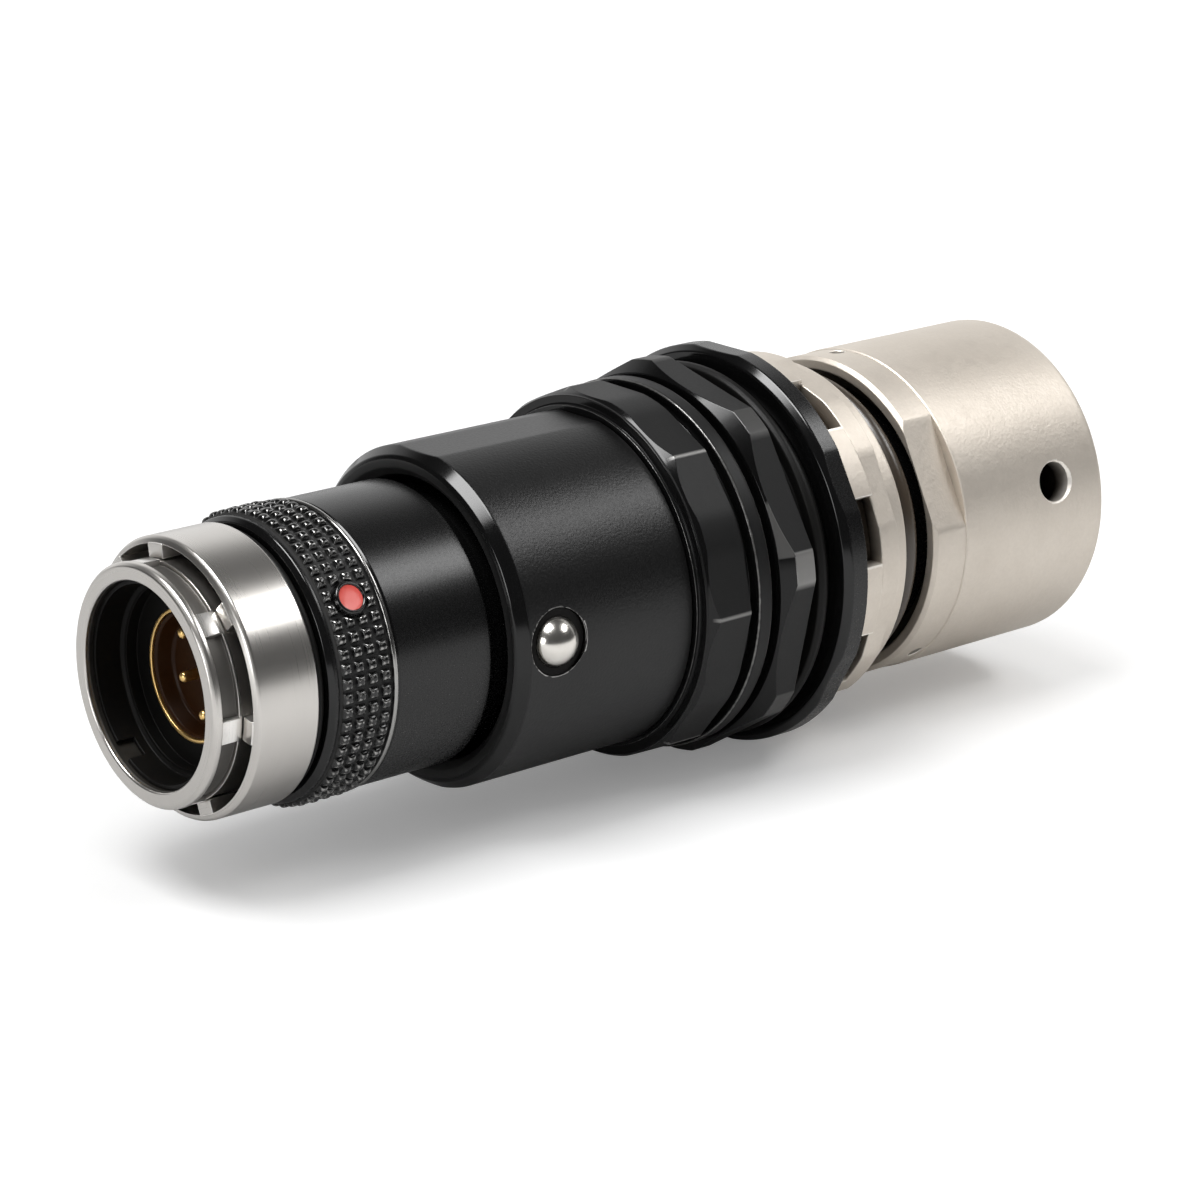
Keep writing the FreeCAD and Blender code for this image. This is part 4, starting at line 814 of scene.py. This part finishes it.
def noise(tree, place, scale, detail, roughness):
    """Fractal noise of a place, near 0 to 1."""
    inputs = {"Vector": place, "Scale": scale, "Detail": detail, "Roughness": roughness}
    return add_node(tree, "ShaderNodeTexNoise", inputs).outputs["Fac"]


def bump(tree, depth, height):
    """Normal of a relief up to 0.02 mm high, times the depth."""
    return add_node(tree, "ShaderNodeBump", {"Strength": depth, "Distance": RELIEF, "Height": height}).outputs[0]


def new_group(name, inputs, outputs, build):
    """Node group with float inputs at their usual values. `build` makes its nodes and gives what comes out."""
    tree = bpy.data.node_groups.new(name, "ShaderNodeTree")
    for label, value in inputs.items():
        tree.interface.new_socket(label, in_out="INPUT", socket_type="NodeSocketFloat").default_value = value
    for label in outputs:
        kind = "NodeSocketVector" if label == "Normal" else "NodeSocketFloat"
        tree.interface.new_socket(label, in_out="OUTPUT", socket_type=kind)
    result = tree.nodes.new("NodeGroupOutput")
    for label, value in zip(outputs, build(tree, tree.nodes.new("NodeGroupInput").outputs)):
        tree.links.new(value, result.inputs[label])
    print("group:", name)
    return tree


print("a relief is at most", RELIEF / MM, "mm high")

# %% The four groups
def lathe_marks(tree, given):
    """Noise of (x, r) in steps of Spacing mm: fine rings round the axis on a side face and on an end face."""
    place = object_place(tree)
    across = vector_calc(tree, "MULTIPLY", place, (0, 1, 1))[0]
    r = vector_calc(tree, "LENGTH", across)["Value"]
    count = calc(tree, "DIVIDE", 1 / MM, given["Spacing"])
    rings = add_node(tree, "ShaderNodeCombineXYZ", {0: calc(tree, "MULTIPLY", split(tree, place)[0], count),
                                                    1: calc(tree, "MULTIPLY", r, count)}).outputs[0]
    uneven = vector_calc(tree, "MULTIPLY", across, (0, 40, 40))[0]
    mask = noise(tree, vector_calc(tree, "ADD", rings, uneven)[0], 1.0, 3.0, 0.6)
    return mask, bump(tree, given["Depth"], mask)


def grain(tree, given):
    """Noise of the place itself: Size mm for the grain, and a cloud about sixteen times as coarse."""
    place = object_place(tree)
    count = calc(tree, "DIVIDE", 1 / MM, given["Size"])
    fine = noise(tree, place, count, 2.0, 0.55)
    return fine, noise(tree, place, calc(tree, "MULTIPLY", count, 0.06), 4.0, 0.6), bump(tree, given["Depth"], fine)


def edge_wear(tree, given):
    """Mask = smooth(edge + noise - 1 + Amount): proud edges first, with a ragged border."""
    patches = calc(tree, "SUBTRACT", noise(tree, object_place(tree), 2.2 / MM, 4.0, 0.65), 0.5)
    proud = calc(tree, "ADD", stored(tree, "edge"), calc(tree, "MULTIPLY", patches, given["Raggedness"]))
    level = calc(tree, "ADD", proud, calc(tree, "SUBTRACT", given["Amount"], 1.0))
    return [smooth_mask(tree, level, 0.0, 0.35)]


def pocket_shade(tree, given):
    """Mask = stored shade value (1 - Patchiness noise): painted shade in pockets, bores, holes and grooves, broken up a
    little by noise.
    """
    patches = calc(tree, "MULTIPLY", noise(tree, object_place(tree), 0.9 / MM, 3.0, 0.5), given["Patchiness"])
    return [calc(tree, "MULTIPLY", stored(tree, "hollow"), calc(tree, "SUBTRACT", 1.0, patches), clamp=True)]


LATHE = new_group("lathe_marks", {"Spacing": 0.06, "Depth": 0.2}, ("Mask", "Normal"), lathe_marks)
GRAIN = new_group("grain", {"Size": 0.1, "Depth": 0.2}, ("Mask", "Cloud", "Normal"), grain)
WEAR = new_group("edge_wear", {"Amount": 0.5, "Raggedness": 0.5}, ("Mask",), edge_wear)
PAINTED_SHADE_GROUP = new_group("pocket_shade", {"Patchiness": 0.3}, ("Mask",), pocket_shade)

# %% [markdown]
# ## Finishes
#
# A finish places the shared groups with its own values, and sets what stays the same all over the surface straight
# on the shader. The nickels, the steel and the anodised black have functions of their own. The plain ones, such as
# gold, rubber and enamel, differ only in their numbers, so they share one.

# %% Metals
def start_finish(name):
    """Material with an empty shader tree, its Principled BSDF and a way to place a shared group."""
    material = bpy.data.materials.new(name)
    material.use_nodes = True
    tree = material.node_tree

    def shared(group, **values):
        node = add_node(tree, "ShaderNodeGroup", node_tree=group)
        for label, value in values.items():
            set_input(tree, node.inputs[label], value)
        return node.outputs

    return material, tree, tree.nodes["Principled BSDF"], shared


def feed(tree, shader, **sockets):
    """Links or sets the shader's inputs, written with _ for a space."""
    for label, value in sockets.items():
        set_input(tree, shader.inputs[label.replace("_", " ")], value)


def turned_nickel():
    """Satin nickel plate on turned brass: warm grey, faint rings, brighter where rubbed, and painted shade, near black,
    in the pockets.
    """
    material, tree, shader, shared = start_finish("turned_nickel")
    marks, grain, wear = shared(LATHE, Spacing=0.09), shared(GRAIN, Size=0.5), shared(WEAR, Amount=0.6, Raggedness=0.25)
    tone = mix_colour(tree, grain["Cloud"], (0.60, 0.575, 0.545), (0.67, 0.65, 0.62))
    tone = mix_colour(tree, calc(tree, "MULTIPLY", marks["Mask"], 0.12), tone, (0.45, 0.43, 0.4))
    tone = mix_colour(tree, wear["Mask"], tone, (0.86, 0.84, 0.81))
    # Painted shade: the tone goes near black where the mesh stores shade for pockets and bores.
    painted_shade_mask = shared(PAINTED_SHADE_GROUP, Patchiness=0.06)["Mask"]
    tone = mix_colour(tree, painted_shade_mask, tone, (0.02, 0.018, 0.015))
    rough = blend_value(tree, painted_shade_mask, blend_value(tree, marks["Mask"], 0.271, 0.279), 0.6)
    feed(tree, shader, Base_Color=tone, Metallic=1.0, Roughness=rough)
    return material


def blasted_nickel():
    """Nickel over a bead-blasted face: warm beige grey, mottled, without direction."""
    material, tree, shader, shared = start_finish("blasted_nickel")
    grain, stain, wear = shared(GRAIN, Size=0.28, Depth=1.0), shared(GRAIN, Size=0.8), shared(WEAR, Amount=0.6)
    tone = mix_colour(tree, stain["Cloud"], (0.62, 0.56, 0.49), (0.88, 0.82, 0.74))
    tone = mix_colour(tree, calc(tree, "MULTIPLY", grain["Mask"], 0.25), tone, (0.5, 0.45, 0.39))
    tone = mix_colour(tree, wear["Mask"], tone, (0.9, 0.86, 0.8))
    # Painted shade: near black in the holes and the bore, from the shade value stored in the mesh.
    tone = mix_colour(tree, shared(PAINTED_SHADE_GROUP, Patchiness=0.1)["Mask"], tone, (0.045, 0.033, 0.022))
    rough = blend_value(tree, stain["Mask"], 0.47, 0.6)
    feed(tree, shader, Base_Color=tone, Metallic=1.0, Roughness=rough, Normal=grain["Normal"])
    return material


def polished_steel():
    """Polished steel with a few fine scuffs."""
    material, tree, shader, shared = start_finish("polished_steel")
    grain = shared(GRAIN, Size=0.5, Depth=0.02)
    rough = blend_value(tree, grain["Cloud"], 0.17, 0.26)
    tone = mix_colour(tree, grain["Mask"], (0.70, 0.67, 0.62), (0.8, 0.78, 0.74))
    feed(tree, shader, Base_Color=tone, Metallic=1.0, Roughness=rough, Normal=grain["Normal"])
    return material


print("metals: turned nickel, blasted nickel, polished steel")

# %% Anodised black and the plain finishes
def black_anodised(name, smoothest, roughest, depth, shine):
    """Black anodised aluminium: satin and finely etched, glossy where it was cut again, grey where rubbed bare, with
    painted shade, near black, in grooves, slots and bores.
    """
    material, tree, shader, shared = start_finish(name)
    cut = stored(tree, "cut")
    etched = calc(tree, "MULTIPLY", calc(tree, "SUBTRACT", 1.0, cut), depth)
    grain, cloud = shared(GRAIN, Size=0.2, Depth=etched), shared(GRAIN, Size=0.5)
    wear = shared(WEAR, Amount=0.55, Raggedness=0.3)["Mask"]
    bare = calc(tree, "MAXIMUM", wear, stored(tree, "worn"))
    # Painted shade: where the mesh stores shade, the tone goes to near black.
    painted_shade_mask = shared(PAINTED_SHADE_GROUP, Patchiness=0.1)["Mask"]
    tone = mix_colour(tree, cloud["Cloud"], (0.002, 0.002, 0.002), (0.006, 0.006, 0.0062))
    tone = mix_colour(tree, bare, tone, (0.36, 0.355, 0.345))
    tone = mix_colour(tree, painted_shade_mask, tone, (0.0008, 0.0008, 0.0008))
    rough = blend_value(tree, grain["Mask"], smoothest, roughest)
    for mask, value in ((cut, 0.12), (painted_shade_mask, 0.7)):
        rough = add_node(tree, "ShaderNodeMix", {0: mask, 2: rough, 3: value}).outputs[0]
    feed(tree, shader, Base_Color=tone, Metallic=bare, Roughness=rough, Normal=grain["Normal"],
         Specular_IOR_Level=shine)
    return material


def plain_finish(name, first, second, roughness, cloud_size, grain_size, depth, spacing=None, **constants):
    """One material all over: a cloud mixes two colours, and a finer grain moves the roughness between two values.

    The relief is the grain's, or lathe marks if their spacing is given, and `depth` is how strong it is.
    """
    material, tree, shader, shared = start_finish(name)
    cloud, grain = shared(GRAIN, Size=cloud_size), shared(GRAIN, Size=grain_size, Depth=depth)
    relief = shared(LATHE, Spacing=spacing, Depth=depth) if spacing else grain
    feed(tree, shader, Base_Color=mix_colour(tree, cloud["Cloud"], first, second),
         Roughness=blend_value(tree, grain["Mask"], *roughness), Normal=relief["Normal"], **constants)
    return material


FINISHES = {
    "satin_nickel": turned_nickel(), "blasted_nickel": blasted_nickel(), "polished_steel": polished_steel(),
    "gilt": plain_finish("gilt", (0.86, 0.54, 0.18), (1.0, 0.72, 0.32), (0.25, 0.38), 0.5, 0.5, 0.04, 0.12,
                         Metallic=1.0),
    "black_anodised": black_anodised("black_anodised", 0.22, 0.32, 0.1, 0.45),
    "black_plastic": plain_finish("black_plastic", (0.002, 0.0018, 0.0016), (0.005, 0.0045, 0.004), (0.4, 0.55), 1.5,
                                  1.5, 0.05, 0.2, Specular_IOR_Level=0.12),
    "black_rubber": plain_finish("black_rubber", (0.002, 0.002, 0.002), (0.006, 0.0055, 0.005), (0.4, 0.55), 2.0, 0.2,
                                 0.3, Specular_IOR_Level=0.2),
    "amber_insulator": plain_finish("amber_insulator", (0.014, 0.0045, 0.0008), (0.034, 0.011, 0.002), (0.3, 0.45), 2.5,
                                    0.3, 0.1, Specular_IOR_Level=0.12),
    "coral_enamel": plain_finish("coral_enamel", (0.62, 0.055, 0.04), (0.74, 0.09, 0.068), (0.3, 0.45), 1.2, 0.25, 0.12,
                                 Coat_Weight=0.2, Coat_Roughness=0.1)}
FINISH_OF = {node: FINISHES[slot] for node, slot in SLOT_OF.items()}
# Some pieces of one slot differ: the housing is etched, the grip smooth, the nuts dull, and the neck's seal greased.
FINISH_OF["outer_sleeve"] = black_anodised("black_anodised_etched", 0.3, 0.42, 0.8, 0.4)
FINISH_OF["grip_ring"] = black_anodised("black_anodised_smooth", 0.15, 0.22, 0.05, 0.6)
dull_black = black_anodised("black_anodised_dull", 0.42, 0.52, 0.2, 0.3)
FINISH_OF.update(dict.fromkeys(("front_nut", "thrust_washer", "rear_nut"), dull_black))
FINISH_OF["neck_seal"] = plain_finish("brown_rubber", (0.03, 0.02, 0.012), (0.06, 0.042, 0.026), (0.25, 0.4), 2.0, 0.2,
                                      0.3, Specular_IOR_Level=0.8)
print("finishes:", ", ".join(FINISHES))

# %% Dress every piece
for node, solid in frame["nodes"].items():
    if node in pieces:
        pieces[node].data.materials.append(FINISH_OF[node])
    else:
        for place in solid.material_slots:
            place.material = FINISH_OF[node]
print("dressed:", len(frame["nodes"]), "of which plain CAD:", sorted(set(frame["nodes"]) - set(pieces)))

# %% [markdown]
# ## Light, floor and camera
#
# The connector lies on white paper. The paper glows for the camera only, so the picture's white needs no extra light
# on the metal, and the paper keeps its shadow.
#
# A cylinder mirrors the surroundings at right angles to its axis, and a bevel mirrors another part of them. So the
# world and the paper give the metal one picture to reflect, and one lamp is for gloss only: it shows in the bevels
# and adds no light to the paper.

# %% Floor and surroundings
FLOOR_Z = -0.015
FLOOR_HALF = 1.5
WHITE = (1, 1, 1, 1)


def paper():
    """White paper, with a glow for the camera that grows with distance. Near the connector it is painted darker for
    glossy rays only: a painted shadow that metal sees when it reflects the paper.
    """
    material, tree, shader, shared = start_finish("paper")
    tone = mix_colour(tree, shared(GRAIN, Size=8.0)["Cloud"], (0.89, 0.89, 0.89), (0.91, 0.91, 0.91))
    rays = add_node(tree, "ShaderNodeLightPath").outputs
    place = object_place(tree)
    # Painted shadow in reflections: from 40 mm in front of the axis towards it, glossy rays see the paper up to a
    # quarter darker.
    close = smooth_mask(tree, split(tree, place)[1], -40 * MM, -8 * MM)
    grey = calc(tree, "MULTIPLY", calc(tree, "MULTIPLY", close, rays["Is Glossy Ray"]), 0.24)
    feed(tree, shader, Base_Color=mix_colour(tree, grey, tone, (0, 0, 0)), Roughness=0.9, Specular_IOR_Level=0.2)
    distance = vector_calc(tree, "LENGTH", place)["Value"]
    far = add_node(tree, "ShaderNodeMapRange", {"Value": distance, "From Min": 0.15, "From Max": 0.5,
                                                "To Min": 0.2, "To Max": 1.0}).outputs[0]
    glow = calc(tree, "MULTIPLY", rays["Is Camera Ray"], far)
    light = add_node(tree, "ShaderNodeEmission", {"Color": WHITE, "Strength": glow}).outputs[0]
    both = add_node(tree, "ShaderNodeAddShader", {0: shader.outputs[0], 1: light})
    tree.links.new(both.outputs[0], tree.nodes["Material Output"].inputs["Surface"])
    return material


def studio():
    """World: white for the camera. Light comes evenly from it, but metal sees a dim room with a pale wall behind.

    The wall's mask is smooth(d . b) smooth(1 - height), with d the direction, b the way the camera looks.
    """
    world = bpy.data.worlds.new("studio")
    world.use_nodes = True
    tree = world.node_tree
    rays = add_node(tree, "ShaderNodeLightPath").outputs
    way = add_node(tree, "ShaderNodeTexCoord").outputs["Generated"]
    height = split(tree, way)[2]
    behind = smooth_mask(tree, vector_calc(tree, "DOT_PRODUCT", way, (0.644, 0.765, 0))["Value"], 0.35, 0.8)
    wall = calc(tree, "MULTIPLY", behind, smooth_mask(tree, height, 0.85, 0.5))
    room = blend_value(tree, wall, 0.06, 1.0)
    dome = calc(tree, "ADD", calc(tree, "MULTIPLY", calc(tree, "MULTIPLY", height, height), 0.72), 0.11)
    dome = calc(tree, "ADD", dome, calc(tree, "MULTIPLY", wall, 0.4))
    level = blend_value(tree, rays["Is Glossy Ray"], dome, room)
    level = blend_value(tree, rays["Is Camera Ray"], level, 1.0)
    feed(tree, tree.nodes["Background"], Color=WHITE, Strength=level)
    return world


sides = (-FLOOR_HALF, FLOOR_HALF)
floor_corners = np.array([[[x, y, FLOOR_Z] for y in sides] for x in sides]) / MM
floor = link_object("paper", mesh_from_grid("paper", floor_corners, close_u=False, close_v=False))
floor.data.materials.append(paper())
bpy.context.scene.world = studio()
print("floor at", FLOOR_Z)

# %% Lamps
def softbox(name, target, distance, azimuth, elevation, width, height, power, gloss_only=False):
    """Area lamp that faces a target (mm) from an azimuth counted from -Y towards +X, and an elevation, in degrees."""
    a, e = math.radians(azimuth), math.radians(elevation)
    towards = Vector((math.sin(a) * math.cos(e), -math.cos(a) * math.cos(e), math.sin(e)))
    lamp = bpy.data.lights.new(name, "AREA")
    lamp.shape, lamp.size, lamp.size_y, lamp.energy = "RECTANGLE", width, height, power
    holder = link_object(name, lamp)
    holder.location = Vector(target) * MM + towards * distance
    holder.rotation_euler = (-towards).to_track_quat("-Z", "Y").to_euler()
    holder.visible_diffuse = not gloss_only


NOSE, MIDDLE = (0, 0, 0), (40, 0, 0)
softbox("key", MIDDLE, 0.6, 55, 46, 0.32, 0.15, 1.05)
softbox("top", MIDDLE, 0.8, -95, 70, 0.45, 0.38, 3.0)
softbox("sheen", MIDDLE, 0.78, -95, 68, 0.5, 0.38, 5.6, gloss_only=True)
softbox("nose", NOSE, 0.35, -78, 12, 0.12, 0.12, 0.25)

# %% Camera
CAMERA_PLACE = (-126.1, -197.2, 80.9)
RIGHT, UP, AHEAD = Vector((0.7650, -0.6441, 0)), Vector((0.1975, 0.2346, 0.9518)), Vector((0.6130, 0.7281, -0.3067))
lens = bpy.data.cameras.new("camera")
lens.lens, lens.sensor_width = 110.37, 36
camera = link_object("camera", lens)
camera.matrix_world = Matrix.Translation(Vector(CAMERA_PLACE) * MM) @ Matrix((RIGHT, UP, -AHEAD)).transposed().to_4x4()
bpy.context.scene.camera = camera
bpy.context.scene.view_settings.view_transform = "Standard"
print("camera at", tuple(round(v, 4) for v in camera.location))
